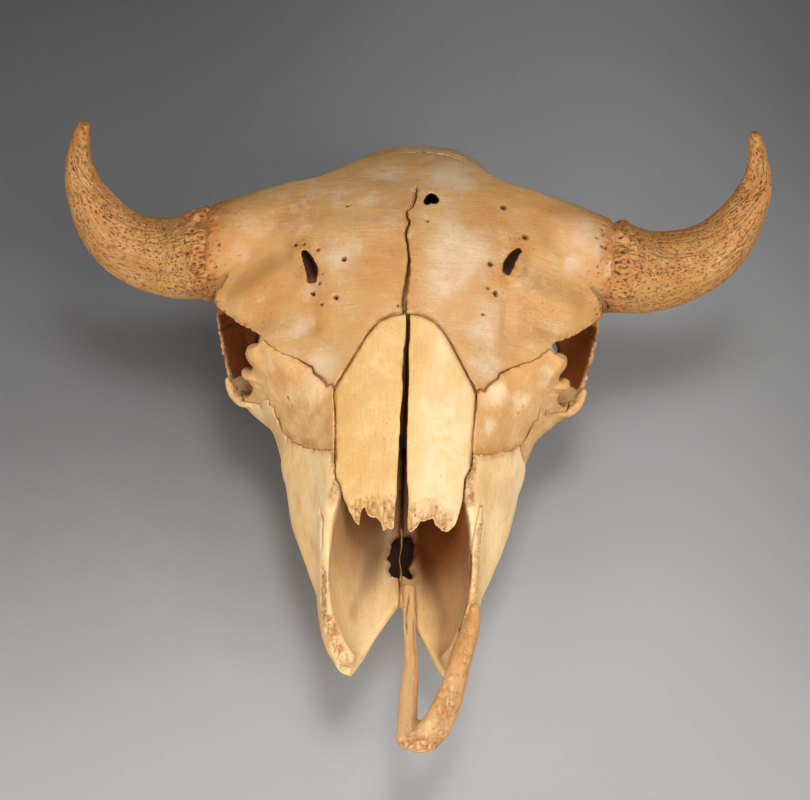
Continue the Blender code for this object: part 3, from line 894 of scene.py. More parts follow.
    def undulate(self, size: float, height: float, seed: int, mask: np.ndarray | float = 1.0) -> None:
        """Gives the surface soft unevenness.

        Args:
            size: The spacing of its swells.
            height: How far they rise and fall.
            seed: Which pattern to draw.
            mask: Where it shows.
        """
        self.push(cloud(self.rest, size, seed) * height * mask)

    def pit(self, size: float, depth: float, seed: int, share: np.ndarray | float, shade: float = 0.8,
            width: float = 0.3) -> None:
        """Scatters pores over the surface.

        Args:
            size: The spacing of the places where a pore may be.
            depth: How deep a pore is.
            seed: Which pattern to draw.
            share: How many of those places have one, over the surface.
            shade: How much painted shade lies in the pores.
            width: A pore's radius as a share of the spacing.
        """
        share = np.broadcast_to(np.asarray(share, float), len(self.rest))
        live = np.flatnonzero(share > 0.01)
        if not len(live):
            return
        distance, luck = cells(self.rest[live], size, seed)
        radius = width * (0.5 + 0.5 * scatter(np.floor(luck * 4096)[:, None], seed + 3))
        form = np.where(luck < share[live], ease(1, 0.35, distance / radius), 0.0)
        deep = np.zeros(len(self.rest))
        deep[live] = form
        self.push(-deep * depth)
        self.mark("shade", deep * shade)

    def done(self) -> Thing:
        """Writes the surface, where it lies, and its marks back.

        Returns:
            The object.
        """
        mesh = self.thing.data
        mesh.vertices.foreach_set("co", POSE.place(self.at).astype(np.float32).ravel())
        for name, amount in self.marks.items():
            layer = mesh.attributes.new(name, "FLOAT", "POINT")
            layer.data.foreach_set("value", amount.astype(np.float32))
        if self.flow is not None:
            layer = mesh.attributes.new("flow", "FLOAT_VECTOR", "POINT")
            layer.data.foreach_set("vector", self.flow.astype(np.float32).ravel())
        mesh.update()
        mesh.shade_smooth()
        return self.thing


class Wire:
    """One output of a node; sums and products of wires add the nodes that work them out."""

    def __init__(self, bench: "Bench", socket: bpy.types.NodeSocket) -> None:
        """Holds the output.

        Args:
            bench: The material's nodes.
            socket: The output.
        """
        self.bench = bench
        self.socket = socket

    def __add__(self, other: "Wire | float") -> "Wire":
        """Their sum."""
        return self.bench.sum_up("ADD", self, other)

    __radd__ = __add__

    def __sub__(self, other: "Wire | float") -> "Wire":
        """What is left of this one."""
        return self.bench.sum_up("SUBTRACT", self, other)

    def __rsub__(self, other: "Wire | float") -> "Wire":
        """What this one leaves of the other."""
        return self.bench.sum_up("SUBTRACT", other, self)

    def __mul__(self, other: "Wire | float") -> "Wire":
        """Their product."""
        return self.bench.sum_up("MULTIPLY", self, other)

    __rmul__ = __mul__

    @property
    def is_value(self) -> bool:
        """Whether it carries one number and no colour or vector."""
        return self.socket.type == "VALUE"


class Bench:
    """The nodes of one material."""

    def __init__(self, name: str) -> None:
        """Starts a material with its shader.

        Args:
            name: The material's name.
        """
        self.material = bpy.data.materials.new(name)
        self.material.use_nodes = True
        self.tree = self.material.node_tree
        self.shader = self.tree.nodes["Principled BSDF"]

    def node(self, kind: str, settings: dict | None = None, sockets: dict | None = None,
             out: str | int = 0) -> Wire:
        """Adds a node.

        Args:
            kind: Its type.
            settings: Its properties, set first.
            sockets: Values or wires for its inputs, by name or number.
            out: Which output to give.

        Returns:
            That output.
        """
        made = self.tree.nodes.new(kind)
        for key, value in (settings or {}).items():
            setattr(made, key, value)
        for key, value in (sockets or {}).items():
            self.feed(made.inputs[key], value)
        return Wire(self, made.outputs[out])

    def feed(self, socket: bpy.types.NodeSocket, value: object) -> None:
        """Links a wire to an input, or sets the input's value.

        Args:
            socket: The input.
            value: What it gets.
        """
        if isinstance(value, Wire):
            self.tree.links.new(value.socket, socket)
        elif socket.type == "RGBA" and len(value) == 3:
            socket.default_value = (*value, 1)
        else:
            socket.default_value = value

    def sum_up(self, operation: str, a: "Wire | float", b: "Wire | float") -> Wire:
        """Works two wires or numbers out, as numbers where both are, and else as vectors.

        Args:
            operation: The operation.
            a: The first.
            b: The second.

        Returns:
            The result.
        """
        plain = all(not isinstance(v, Wire) or v.is_value for v in (a, b))
        if plain:
            return self.node("ShaderNodeMath", {"operation": operation}, {0: a, 1: b})
        spread = [v if isinstance(v, Wire) else (v, v, v) for v in (a, b)]
        return self.node("ShaderNodeVectorMath", {"operation": operation}, {0: spread[0], 1: spread[1]})

    def blend(self, share: "Wire | float", a: "Wire | Colour", b: "Wire | Colour") -> Wire:
        """A mix of two colours.

        Args:
            share: How much of the second, from 0 to 1.
            a: The first colour.
            b: The second.

        Returns:
            The mixed colour.
        """
        return self.node("ShaderNodeMix", {"data_type": "RGBA"}, {0: share, 6: a, 7: b}, out=2)

    def spread(self, value: Wire, low: float, high: float, top: float = 1.0) -> Wire:
        """A value that rises smoothly from 0 to top.

        Args:
            value: What it follows.
            low: Where it starts to rise.
            high: Where it is full.
            top: Its full value.

        Returns:
            The rising value.
        """
        return self.node(
            "ShaderNodeMapRange", {"interpolation_type": "SMOOTHSTEP"},
            {"Value": value, "From Min": low, "From Max": high, "To Min": 0.0, "To Max": top},
        )

    def noise(self, at: Wire, scale: float, detail: float = 3.0, rough: float = 0.55) -> Wire:
        """Cloudy noise of about 0.2 to 0.8, scale to the metre.

        Args:
            at: The places.
            scale: Its scale to the metre.
            detail: How many finer layers it has.
            rough: How strong the finer layers are.

        Returns:
            The noise.
        """
        return self.node(
            "ShaderNodeTexNoise", {"noise_dimensions": "3D"},
            {"Vector": at, "Scale": scale, "Detail": detail, "Roughness": rough}, out="Fac",
        )

    def mark(self, name: str) -> Wire:
        """One of the marks that the surface carries."""
        return self.node("ShaderNodeAttribute", {"attribute_name": name}, out="Fac")


@dataclass(frozen=True)
class BoneFinish:
    """Old dry bone: a base tone with stains and bleached patches, and painted shade in its pores and hollows.
    """

    name: str
    base: Colour
    warm: Colour = (0.52, 0.25, 0.07)
    pale: Colour = (0.78, 0.58, 0.34)
    rust: Colour = (0.42, 0.155, 0.032)
    # Colour of the painted shade in pores, pits, grooves and holes, and of dark seams.
    dark: Colour = (0.060, 0.017, 0.004)
    # Colour of the painted shade inside the sockets, the nose and under plates.
    inside: Colour = (0.17, 0.042, 0.005)
    stain: float = 0.7
    streak: tuple[float, float, float] = (1.0, 1.0, 1.0)
    roughness: float = 0.56
    relief: float = 0.7
    grooved: bool = False

    def material(self) -> bpy.types.Material:
        """Builds the finish.

        Returns:
            The material.
        """
        bench = Bench(self.name)
        place = bench.node("ShaderNodeTexCoord", out="Object")
        course = place
        if self.grooved:
            course = bench.node("ShaderNodeAttribute", {"attribute_name": "flow"}, out="Vector") * MM
        drawn = bench.node("ShaderNodeMapping", sockets={"Vector": course, "Scale": self.streak})
        broad = bench.noise(place, 16.0, 4.0, 0.6)
        mottle = bench.noise(place, 75.0, 7.0, 0.68)
        fibre = bench.noise(drawn, 260.0, 4.0, 0.65)
        grain = bench.noise(place, 1100.0, 3.0, 0.6)
        pore = bench.node(
            "ShaderNodeTexVoronoi", {"feature": "F1"}, {"Vector": place, "Scale": 360.0, "Randomness": 1.0},
            out="Distance",
        )
        tone = bench.blend(bench.spread(broad, 0.42, 0.66, self.stain), self.base, self.warm)
        bleached = bench.spread(mottle * 0.55 + broad * 0.45, 0.5, 0.36, 0.45)
        tone = bench.blend(bleached, tone, self.pale)
        tone = bench.blend(bench.spread(fibre, 0.48, 0.68, 0.42), tone, self.warm)
        tone = bench.blend(bench.spread(grain, 0.44, 0.66, 0.50), tone, self.warm)
        tone = bench.blend(bench.mark("pale") * bench.spread(mottle, 0.25, 0.6), tone, self.pale)
        tone = bench.blend(bench.mark("rust") * bench.spread(mottle, 0.2, 0.62), tone, self.rust)
        # Painted shade inside the sockets, the nose and under plates.
        tone = bench.blend(bench.mark("hollow"), tone, self.inside)
        # Shader pores, darkened as painted shade.
        speck = bench.spread(pore, 0.17, 0.09) * bench.spread(mottle, 0.44, 0.60, 0.8)
        if self.grooved:
            speck = self.pitting(bench)
        # Dark seams and stains, with painted shade in pores, pits, grooves and holes, all mixed towards the
        # dark colour.
        dirt_and_painted_shade = bench.node("ShaderNodeMath", {"operation": "MAXIMUM"},
                          {0: bench.mark("shade"), 1: speck * 0.7})
        tone = bench.blend(dirt_and_painted_shade * 0.97, tone, self.dark)
        sheen = grain * 0.16 + mottle * 0.14 + dirt_and_painted_shade * 0.3 + (self.roughness - 0.15)
        relief = grain * 0.25 + fibre * 0.75 - speck * 0.6
        normal = bench.node(
            "ShaderNodeBump", sockets={"Height": relief, "Strength": self.relief, "Distance": 0.0009},
        )
        bench.feed(bench.shader.inputs["Base Color"], tone)
        bench.feed(bench.shader.inputs["Roughness"], sheen)
        bench.feed(bench.shader.inputs["Normal"], normal)
        bench.feed(bench.shader.inputs["Specular IOR Level"], 0.38)
        return bench.material

    @staticmethod
    def pitting(bench: Bench) -> Wire:
        """Small pits drawn out along a horn, darkened in the finish as painted shade.

        Args:
            bench: The material's nodes.

        Returns:
            How deep they are, from 0 to 1.
        """
        flow = bench.node("ShaderNodeAttribute", {"attribute_name": "flow"}, out="Vector")
        total = None
        for long, scale, wide, top in ((0.50, 0.40, 0.40, 1.0), (0.42, 0.66, 0.38, 1.0)):
            drawn = bench.node("ShaderNodeMapping", sockets={"Vector": flow, "Scale": (1.0, 1.0, long)})
            spots = bench.node("ShaderNodeTexVoronoi", {"feature": "F1"}, {"Vector": drawn, "Scale": scale},
                               out="Distance")
            wander = bench.noise(flow, 0.10 + 0.05 * scale, 2.0)
            pit = bench.spread(spots, wide, wide * 0.45) * bench.spread(wander, 0.34, 0.54, top)
            if total is not None:
                pit = bench.node("ShaderNodeMath", {"operation": "MAXIMUM"}, {0: total, 1: pit})
            total = pit
        return total

    def dress(self, thing: Thing) -> None:
        """Gives the piece this finish."""
        thing.data.materials.clear()
        thing.data.materials.append(bpy.data.materials.get(self.name) or self.material())


FRONTAL_FINISH = BoneFinish("frontal bone", (0.52, 0.305, 0.115), pale=(0.64, 0.50, 0.36),
                            warm=(0.46, 0.225, 0.065), streak=(0.25, 1.6, 1.0))
NASAL_FINISH = BoneFinish("nasal bone", (0.64, 0.40, 0.148), warm=(0.54, 0.295, 0.082),
                          pale=(0.76, 0.56, 0.33), streak=(1.8, 0.2, 0.4), stain=0.55)
# Face bone: its near-black dark colour is the painted shade in the hole in the nose's floor and in the face's
# pits.
FACE_FINISH = BoneFinish("face bone", (0.84, 0.59, 0.29), warm=(0.70, 0.40, 0.13), pale=(0.86, 0.68, 0.42),
                         dark=(0.020, 0.004, 0.002), streak=(1.6, 0.22, 0.6), stain=0.6)
CHEEK_FINISH = BoneFinish("cheek bone", (0.66, 0.40, 0.165), streak=(0.8, 0.4, 1.0))
SNOUT_FINISH = BoneFinish("premaxilla bone", (0.50, 0.275, 0.102), streak=(1.8, 0.2, 0.6))
BASE_FINISH = BoneFinish("base bone", (0.58, 0.37, 0.18), warm=(0.44, 0.24, 0.09), streak=(1.0, 0.5, 1.0))
HORN_FINISH = BoneFinish(
    "horn core", (0.52, 0.27, 0.085), warm=(0.40, 0.18, 0.042), pale=(0.62, 0.40, 0.19), stain=0.8,
    relief=1.0, roughness=0.66, streak=(1.0, 1.0, 0.10), grooved=True,
)
TOOTH_FINISH = BoneFinish(
    "tooth enamel", (0.70, 0.58, 0.40), warm=(0.50, 0.33, 0.15), pale=(0.80, 0.72, 0.57),
    streak=(1.4, 1.4, 0.2), roughness=0.36, relief=0.25,
)


@dataclass
class Roof:
    """The upper surface of the head, from the nose to the crest."""

    midline: Pairs = (
        (60, 58), (100, 97), (137, 129), (200, 158), (250, 178), (299, 195), (340, 210),
        (380, 220), (409, 222), (440, 218), (480, 206), (518, 183),
    )
    fall: Pairs = (
        (140, 0.0045), (262, 0.0034), (300, 0.0027), (335, 0.0019), (380, 0.0014), (425, 0.0009),
        (455, 0.0014),
        (500, 0.0030),
    )

    def __post_init__(self) -> None:
        """Draws the two curves."""
        self.along = profile(self.midline)
        self.across = profile(self.fall)

    def height(self, x: np.ndarray, y: np.ndarray) -> np.ndarray:
        """The surface's height at places in plan."""
        return self.along(y) - self.across(y) * np.asarray(x, float) ** 2


ROOF = Roof()


@dataclass
class Orbit:
    """One eye socket: a cup behind a thin rim."""

    rim: Path = (
        (119, 301, 163), (134, 317, 160), (145, 328, 160), (154, 339, 157), (154, 334, 140), (150, 325, 122),
        (145, 313, 103), (135, 299, 97), (125, 291, 108), (124, 294, 124), (121, 297, 142),
    )
    inward: tuple[float, float, float] = (-0.70, 0.68, -0.20)

    def ring(self, side: Side, depth: float, scale: float, grow: float = 0.0) -> np.ndarray:
        """The rim moved into the head.

        Args:
            side: The side of the head.
            depth: How far in.
            scale: Its size against the rim's.
            grow: How far it is then moved outward.

        Returns:
            The ring's points.
        """
        rim = smooth_path(self.rim, 64, closed=True)
        middle = rim.mean(axis=0)
        arms = rim - middle
        reach = np.linalg.norm(arms, axis=1, keepdims=True)
        return (middle + arms * (scale + grow / reach) + np.array(self.inward) * depth) * (side.value, 1, 1)

    def line(self, side: Side) -> np.ndarray:
        """The rim as a closed line."""
        rim = self.ring(side, 0, 1)
        return np.vstack([rim, rim[:1]])

    def depth_of(self, points: np.ndarray, side: Side) -> np.ndarray:
        """How far into the socket each point lies, below nothing outside it.

        Args:
            points: The points.
            side: The side of the head.

        Returns:
            The depths, -1 beyond the socket's width.
        """
        rim = self.ring(side, 0, 1)
        inward = np.array(self.inward) * (side.value, 1, 1)
        inward = inward / np.linalg.norm(inward)
        arms = points - rim.mean(axis=0)
        depth = arms @ inward
        away = np.linalg.norm(arms - depth[:, None] * inward, axis=1)
        return np.where((away < 34) & (depth < 75), depth, -1)


ORBIT = Orbit()
CREASE = ((3.8, 449.6, 215.5), (16.0, 466.7, 209.2), (30.9, 487.3, 195.2))


@dataclass
class HornCore:
    """A bony horn core: a spongy collar where it leaves the forehead, long grooves and pits, a broken tip."""

    path: Path = (
        (50, 420, 172), (95, 413, 173), (130, 402, 171), (158, 395, 166), (200, 399, 153), (243, 404, 169),
        (269, 418, 207), (274, 429, 238), (266.5, 436, 269),
    )
    wide: tuple[float, ...] = (48, 46, 42, 38.5, 37.5, 35, 31.5, 27, 21.3, 15.2, 9.3, 4.6)
    high: tuple[float, ...] = (36, 37, 38, 38, 37.5, 34, 30.5, 26, 20.8, 14.6, 9.0, 4.6)
    sway: float = 5.0
    left_tip_back: float = 4.5
    burr: float = 162.0
    around: int = 360
    along: int = 390
    overlap: float = 12.0
    gullies: int = 26
    samples: int = 900
    evened: int = 75

    def swept(self, side: Side) -> np.ndarray:
        """The middle line's points on one side of the head.

        Args:
            side: The side of the head.

        Returns:
            The points, one row each.
        """
        rows = []
        for x, y, z in self.path:
            share = float(ease(160, 270, x))
            rows.append((side.value * x + self.sway * share, y + side.value * self.sway * share, z))
        if side is Side.LEFT:
            x, y, z = rows[-1]
            rows[-1] = (x, y + self.left_tip_back, z)
        return np.array(rows)

    def stump(self, side: Side) -> Thing:
        """The whole horn as a plain tube, for the fused head."""
        return tube("horn", self.swept(side), self.wide, self.high, count=52, sides=40)

    def build(self, side: Side) -> Thing:
        """Makes the horn core beyond its collar.

        Args:
            side: The side of the head.

        Returns:
            The piece.
        """
        frames = frames_along(self.swept(side), self.samples, (0, 0, 1), self.evened)
        share, third = np.linspace(0, 1, self.samples), self.samples // 3
        start = float(np.interp(self.burr - self.overlap, np.abs(frames[0][:third, 0]), share[:third]))
        at = np.concatenate([np.linspace(start, 0.991, self.along), [0.9935, 0.9955, 0.9970, 0.9983, 0.9993]])
        closing = np.sqrt(np.clip(1 - ((at - 0.990) / 0.0100).clip(0, 1) ** 3, 0.04, 1))
        w, h = evenly(self.wide)(at) * closing, evenly(self.high)(at) * closing
        frames = [np.column_stack([np.interp(at, share, v[:, k]) for k in range(3)]) for v in frames]
        turn = np.linspace(0, 2 * math.pi, self.around, endpoint=False)
        skin = Skin(self.tube_mesh("core_" + side.word, ovals(frames, w, h, turn)))
        run = np.linalg.norm(np.diff(frames[0], axis=0), axis=1).cumsum()
        run = np.repeat(np.concatenate([[0], run]), self.around) - self.overlap
        spin = np.tile(turn, len(at))
        pad = len(skin.at) - len(run)
        run, spin = np.pad(run, (0, pad)), np.pad(spin, (0, pad))
        run[-2:] = -self.overlap, run.max()
        girth = np.pad(np.repeat((w + h) / 2, self.around), (0, pad))
        self.weather(skin, run, spin, girth, side)
        return skin.done()

    @staticmethod
    def tube_mesh(name: str, rings: np.ndarray) -> Thing:
        """A closed mesh of rings with a point in the middle of each end.

        Args:
            name: The object's name.
            rings: The rings' points.

        Returns:
            The object.
        """
        rows, sides, _ = rings.shape
        ends = [rings[0].mean(axis=0), rings[-1].mean(axis=0)]
        points = np.vstack([rings.reshape(-1, 3), ends])
        i, j = np.meshgrid(np.arange(rows - 1), np.arange(sides), indexing="ij")
        k = (j + 1) % sides
        quads = np.stack([i * sides + j, i * sides + k, (i + 1) * sides + k, (i + 1) * sides + j], axis=-1)
        faces = quads.reshape(-1, 4).tolist()
        first, last = rows * sides, rows * sides + 1
        faces += [(first, (s + 1) % sides, s) for s in range(sides)]
        base = (rows - 1) * sides
        faces += [(last, base + s, base + (s + 1) % sides) for s in range(sides)]
        mesh = bpy.data.meshes.new(name)
        mesh.from_pydata(points.tolist(), [], faces)
        return outward(link(mesh, name))

    def weather(self, skin: Skin, run: np.ndarray, spin: np.ndarray, girth: np.ndarray, side: Side) -> None:
        """Works collar, grooves, pits and tip into the surface.

        Args:
            skin: The surface.
            run: Each point's distance from the burr along the horn.
            spin: Each point's angle about its middle.
            girth: Each point's distance from its middle.
            side: The side of the head.
        """
        seed = 40 if side is Side.LEFT else 60
        turned = spin + run * 0.0022 * side.value
        wheel = np.column_stack([girth * np.cos(turned), girth * np.sin(turned)])
        even = np.column_stack([30 * np.cos(turned), 30 * np.sin(turned), run * 0.10])
        flow, stretched, sponge = (np.column_stack([wheel, run * k]) for k in (0.10, 0.5, 1.0))
        skin.flow = sponge
        left = run.max() - run
        tip = ease(0, 26, left)
        edge = run + 6 * ripple(sponge, 12, seed) + 4 * ripple(sponge, 5, seed + 14)
        burr = ease(21, 8, edge)
        collar = ease(-3, 3, edge) * ease(20, 8, run + 5 * ripple(sponge, 9, seed + 1))
        skin.push(0.9 * cloud(even, 12, seed + 2) * tip - 0.6 * np.abs(cloud(even, 4.5, seed + 3)) * tip)
        fine_lines = 0.40 * np.abs(cloud(even, 2.4, seed + 13, 2)) * tip
        skin.push(0.20 * cloud(stretched, 2.2, seed + 4, 2) - fine_lines)
        skin.push(-3.0 * ease(1, -5, edge) + collar * (1.4 + 2.2 * cloud(sponge, 7, seed + 5)))
        gully = np.zeros(len(run))
        for k in range(self.gullies):
            luck = scatter(np.array([[k, j] for j in range(5)]), seed + 21)
            begin, length = 10 + 130 * luck[1], 30 + 90 * luck[2]
            aim = 2 * math.pi * luck[0] + 0.05 * np.sin(run / 23 + 9 * luck[3])
            off = np.abs((turned - aim + math.pi) % (2 * math.pi) - math.pi) * 34
            form = ease(1.1 + 1.3 * luck[4], 0, off) * ease(begin - 12, begin + 14, run)
            form = form * ease(begin + length + 16, begin + length - 16, run)
            gully = np.maximum(gully, form * (0.35 + 0.7 * luck[3]))
        skin.push(-gully)
        bend = self.hollow_of(skin, run)
        patchy = ease(-0.75, 0.15, cloud(flow, 9, seed + 18) + 0.6 * bend)
        fine = pits(stretched, 2.9, seed + 6, 0.95, 0.43) * patchy
        long = pits(np.column_stack([wheel, run * 0.26]), 4.2, seed + 7, 0.7, 0.34)
        tiny = pits(stretched, 2.1, seed + 15, 0.8, 0.42) * patchy * (1 - burr)
        coarse = pits(sponge, 4.6, seed + 8, 0.95, 0.44) * burr
        small = pits(sponge, 2.7, seed + 9, 0.9, 0.42) * burr
        skin.push(-0.8 * fine - 0.7 * long - 0.5 * tiny - 2.2 * coarse - 1.1 * small)
        # The pits and gullies get painted shade.
        holes = np.maximum(np.maximum(fine * 0.9, long * 0.6), np.maximum(coarse * 0.95, small * 0.85))
        skin.mark("shade", np.maximum(np.maximum(holes, (0.6 + 0.3 * bend) * tiny), 0.4 * gully))
        clouded = 0.4 * ease(0.1, 0.7, cloud(flow, 18, seed + 10))
        skin.mark("rust", 0.7 * burr + 0.5 * ease(150, 50, left) + clouded + 0.7 * bend)
        crumbled = ease(9, 1, left + 3 * ripple(sponge, 3, seed + 16))
        skin.broken(crumbled, 1.1, seed + 17)
        skin.mark("pale", 0.45 * ease(0.25, 0.7, cloud(sponge, 16, seed + 11)))

    @staticmethod
    def hollow_of(skin: Skin, run: np.ndarray) -> np.ndarray:
        """Where the horn's inner bend is, from 0 to 1."""
        facing = skin.out[:, 2] * 0.55 + skin.out[:, 1] * 0.75 - 0.35 * np.abs(skin.out[:, 0])
        return ease(0.2, 0.75, facing) * ease(8, 45, run)


@dataclass
class HeadMass:
    """The bone of the head fused in one, before it is parted along its sutures."""

    voxel: float = 1.8
    smoothing: int = 5
    crest_sway: float = 9.0
    stations: tuple[int, ...] = (
        70, 76, 84, 96, 112, 130, 150, 172, 198, 222, 244, 262, 276, 288, 298, 306, 312, 318, 328,
    )
    shoulder: Pairs = (
        (72, 38), (85, 49), (110, 56), (135, 57), (165, 55), (200, 53), (262, 58), (300, 62), (328, 62),
    )
    edge: Pairs = (
        (72, 50), (85, 60), (110, 78), (135, 95), (160, 112), (172, 128), (200, 147), (250, 168),
        (300, 184), (328, 194),
    )
    cheek: Pairs = (
        (72, 44), (96, 57), (130, 62), (165, 67), (200, 72), (240, 80), (262, 88), (285, 106), (300, 118),
        (328, 112),
    )
    cheek_level: Pairs = (
        (72, 46), (96, 56), (130, 72), (165, 86), (200, 104), (240, 130), (262, 149), (285, 160),
        (300, 163), (328, 168),
    )
    flank: Pairs = (
        (72, 44), (85, 53), (96, 57), (130, 63.5), (150, 71), (170, 79), (198, 88), (229, 94), (246, 98),
        (262, 104), (285, 119), (300, 127), (315, 122), (328, 112),
    )
    flank_level: Pairs = (
        (72, 42), (130, 50), (165, 58), (200, 62), (230, 68), (262, 88), (285, 112), (328, 116),
    )
    under: Pairs = (
        (72, 40), (110, 48), (150, 60), (200, 74), (240, 80), (262, 92), (285, 112), (300, 116),
        (328, 100),
    )
    under_level: Pairs = ((72, 34), (150, 40), (200, 42), (240, 46), (262, 70), (285, 88), (328, 96))
    jaw: Pairs = (
        (72, 38), (100, 45), (130, 54), (165, 62), (200, 67), (240, 70), (306, 72), (316, 58), (328, 48),
    )
    jaw_level: Pairs = ((72, 30), (140, 30), (155, 24), (306, 24), (316, 52), (328, 80))
    brow: Pairs = (
        (0, 262), (45, 262), (80, 272), (103, 286), (119, 301), (134, 315), (146, 325), (156, 337),
        (155, 348), (143, 362), (138, 392), (128, 420), (104, 434), (80, 440), (60, 455), (42, 470),
        (0, 480),
    )
    back_arch: Pairs = (
        (0, 172), (22, 169), (42, 155), (74, 132), (106, 110), (116, 92), (104, 77), (70, 66), (30, 62),
        (0, 62),
    )
    nose_half: Pairs = (
        (50, 40), (72, 37), (85, 47), (110, 53), (135, 54), (160, 51), (174, 44), (200, 47), (240, 44),
        (258, 38), (300, 30),
    )
    nose_floor: Pairs = ((50, 40), (85, 44), (130, 48), (165, 52), (250, 56), (320, 60))

    def face(self) -> Thing:
        """Both maxillae, the palate and the bone before the eye sockets.

        Returns:
            The solid.
        """
        curves = {name: profile(getattr(self, name)) for name in (
            "shoulder", "edge", "cheek", "cheek_level", "flank", "flank_level", "under", "under_level", "jaw",
            "jaw_level")}
        rings = []
        for y in self.stations:
            s = {name: float(curve(y)) for name, curve in curves.items()}
            top = max(s["edge"], float(ROOF.along(y)) - 2) if y > 165 else s["edge"] + 2
            rings.append(ring_at(y, [
                (0, top), (0.55 * s["shoulder"], top - 0.3 * (top - s["edge"])), (s["shoulder"], s["edge"]),
                (s["cheek"], s["cheek_level"]), (s["flank"], s["flank_level"]),
                (s["under"], s["under_level"]),
                (s["jaw"], s["jaw_level"] + 6), (s["jaw"] - 6, s["jaw_level"]),
                (s["jaw"] - 24, s["jaw_level"] + 4),
                (0.4 * s["jaw"], max(36, s["jaw_level"])), (0, max(38, s["jaw_level"])),
            ], 96))
        return loft("face", rings)

    def forehead(self) -> Thing:
        """The broad plate from the nose to the back of the forehead, out over each eye socket.

        Returns:
            The solid.
        """
        outline = smooth_path(list(self.brow) + [(-x, y) for x, y in self.brow[-2:0:-1]], 120, closed=True)
        depth = profile(((0, 44), (60, 34), (100, 18), (130, 8), (160, 5)))
        return slab("forehead", outline, ROOF.height, lambda x, y: ROOF.height(x, y) - depth(np.abs(x)), 14)

    def braincase(self) -> Thing:
        """The narrow part between the temples, widening to the back of the head.

        Returns:
            The solid.
        """
        half_width = profile(((318, 50), (350, 55), (400, 62), (450, 66), (490, 67), (516, 64)))
        floor = profile(((318, 92), (400, 82), (460, 72), (516, 66)))
        rings = []
        for y in (318, 335, 355, 380, 405, 430, 455, 475, 492, 506, 514):
            top, low, w = float(ROOF.along(y)) - 1, float(floor(y)), float(half_width(y))
            lean = 0.7 * self.crest_sway * float(ease(440, 490, y))
            ring = ring_at(y, [
                (0, top), (0.5 * w, top - 5), (0.9 * w, top - 26), (w, 0.5 * (top + low) + 6),
                (0.9 * w, low + 16),
                (0.5 * w, low + 1), (0, low),
            ], 56)
            rings.append([(x + lean * float(ease(130, 180, z)), y, z) for x, y, z in ring])
        return loft("braincase", rings)

    def back(self) -> list[Thing]:
        """The nuchal plate and crest, and the bar along the base.

        Returns:
            The solids.
        """
        rings = []
        for y, grow in (
            (462, 0.70), (474, 0.86), (488, 0.96), (500, 1.0), (509, 0.98), (515, 0.91), (519, 0.78),
        ):
            ring = ring_at(y, [(x * grow, 110 + (z - 110) * grow) for x, z in self.back_arch], 56)
            rings.append([(x + self.crest_sway * float(ease(120, 160, z)), y, z) for x, y, z in ring])
        crest = [(self.crest_sway + x, y, z) for x, y, z in (
            (-40, 500, 154), (-24, 508, 165), (0, 513, 171), (24, 508, 165), (40, 500, 154),
        )]
        return [
            loft("nuchal_plate", rings),
            tube("nuchal_crest", crest, [6, 8, 8, 8, 6]),
            tube("base_bar", [(0, 318, 98), (0, 380, 90), (0, 450, 78), (0, 520, 76)], [16, 20, 27, 34],
                 [12, 13, 13, 12]),
        ]

    def underside(self, side: Side) -> list[Thing]:
        """Condyle, jugular process, bulla, ear canal, mastoid and pterygoid of one side.

        Args:
            side: The side of the head.

        Returns:
            The solids.
        """
        s = side.value
        return [
            ball("condyle", (s * 33, 524, 78), (20, 21, 25), (20, s * 12, 0)),
            tube("jugular", [(s * 66, 500, 84), (s * 66, 500, 58), (s * 61, 497, 36)], [15, 9, 5.5],
                 [15, 12, 7],
                 tilt=(0, 1, 0)),
            ball("bulla", (s * 46, 446, 68), (12, 18, 16)),
            tube("ear_canal", [(s * 60, 452, 92), (s * 113, 452, 98)], [15, 12]),
            ball("mastoid", (s * 98, 480, 96), (20, 26, 28)),
            tube("temporal_root", [(s * 68, 432, 108), (s * 100, 436, 102), (s * 118, 424, 98)],
                 [18, 14, 10]),
            tube("pterygoid", [(s * 33, 292, 48), (s * 31, 325, 62), (s * 27, 362, 72)], [22, 24, 16],
                 [4, 3.5, 3.5], tilt=(1, 0, 0)),
        ]

    def socket(self, side: Side) -> list[Thing]:
        """The cup of the eye socket and the cheek arch.

        Args:
            side: The side of the head.

        Returns:
            The solids.
        """
        s = side.value
        steps = ((0, 1, 3), (14, 1, 4), (28, 0.94, 4), (42, 0.72, 4), (47, 0.5, 3))
        return [
            loft("orbit_cup", [ORBIT.ring(side, *step) for step in steps]),
            tube("cheek_arch", [(s * 86, 248, 92), (s * 105, 275, 94), (s * 128, 301, 92), (s * 140, 325, 92),
                                (s * 138, 380, 92), (s * 118, 428, 98)], [6, 7, 6, 5, 4, 7],
                 [8, 12, 11, 10, 9, 11]),
        ]

    def knobs(self, side: Side) -> list[Thing]:
        """Two knobs on the front rim of the eye socket.

        Args:
            side: The side of the head.

        Returns:
            The solids.
        """
        s = side.value
        return [
            ball("upper_knob", (s * 117, 297, 146), (13, 8, 11), (0, 0, s * 35)),
            ball("lower_knob", (s * 121, 294, 124), (13, 7.5, 6.5), (0, 0, s * 35)),
            tube("lip", [(s * 146, 311, 104), (s * 141, 301, 96), (s * 133, 293, 94), (s * 126, 288, 98)],
                 [2.5, 3.6, 3.6, 2.5]),
        ]

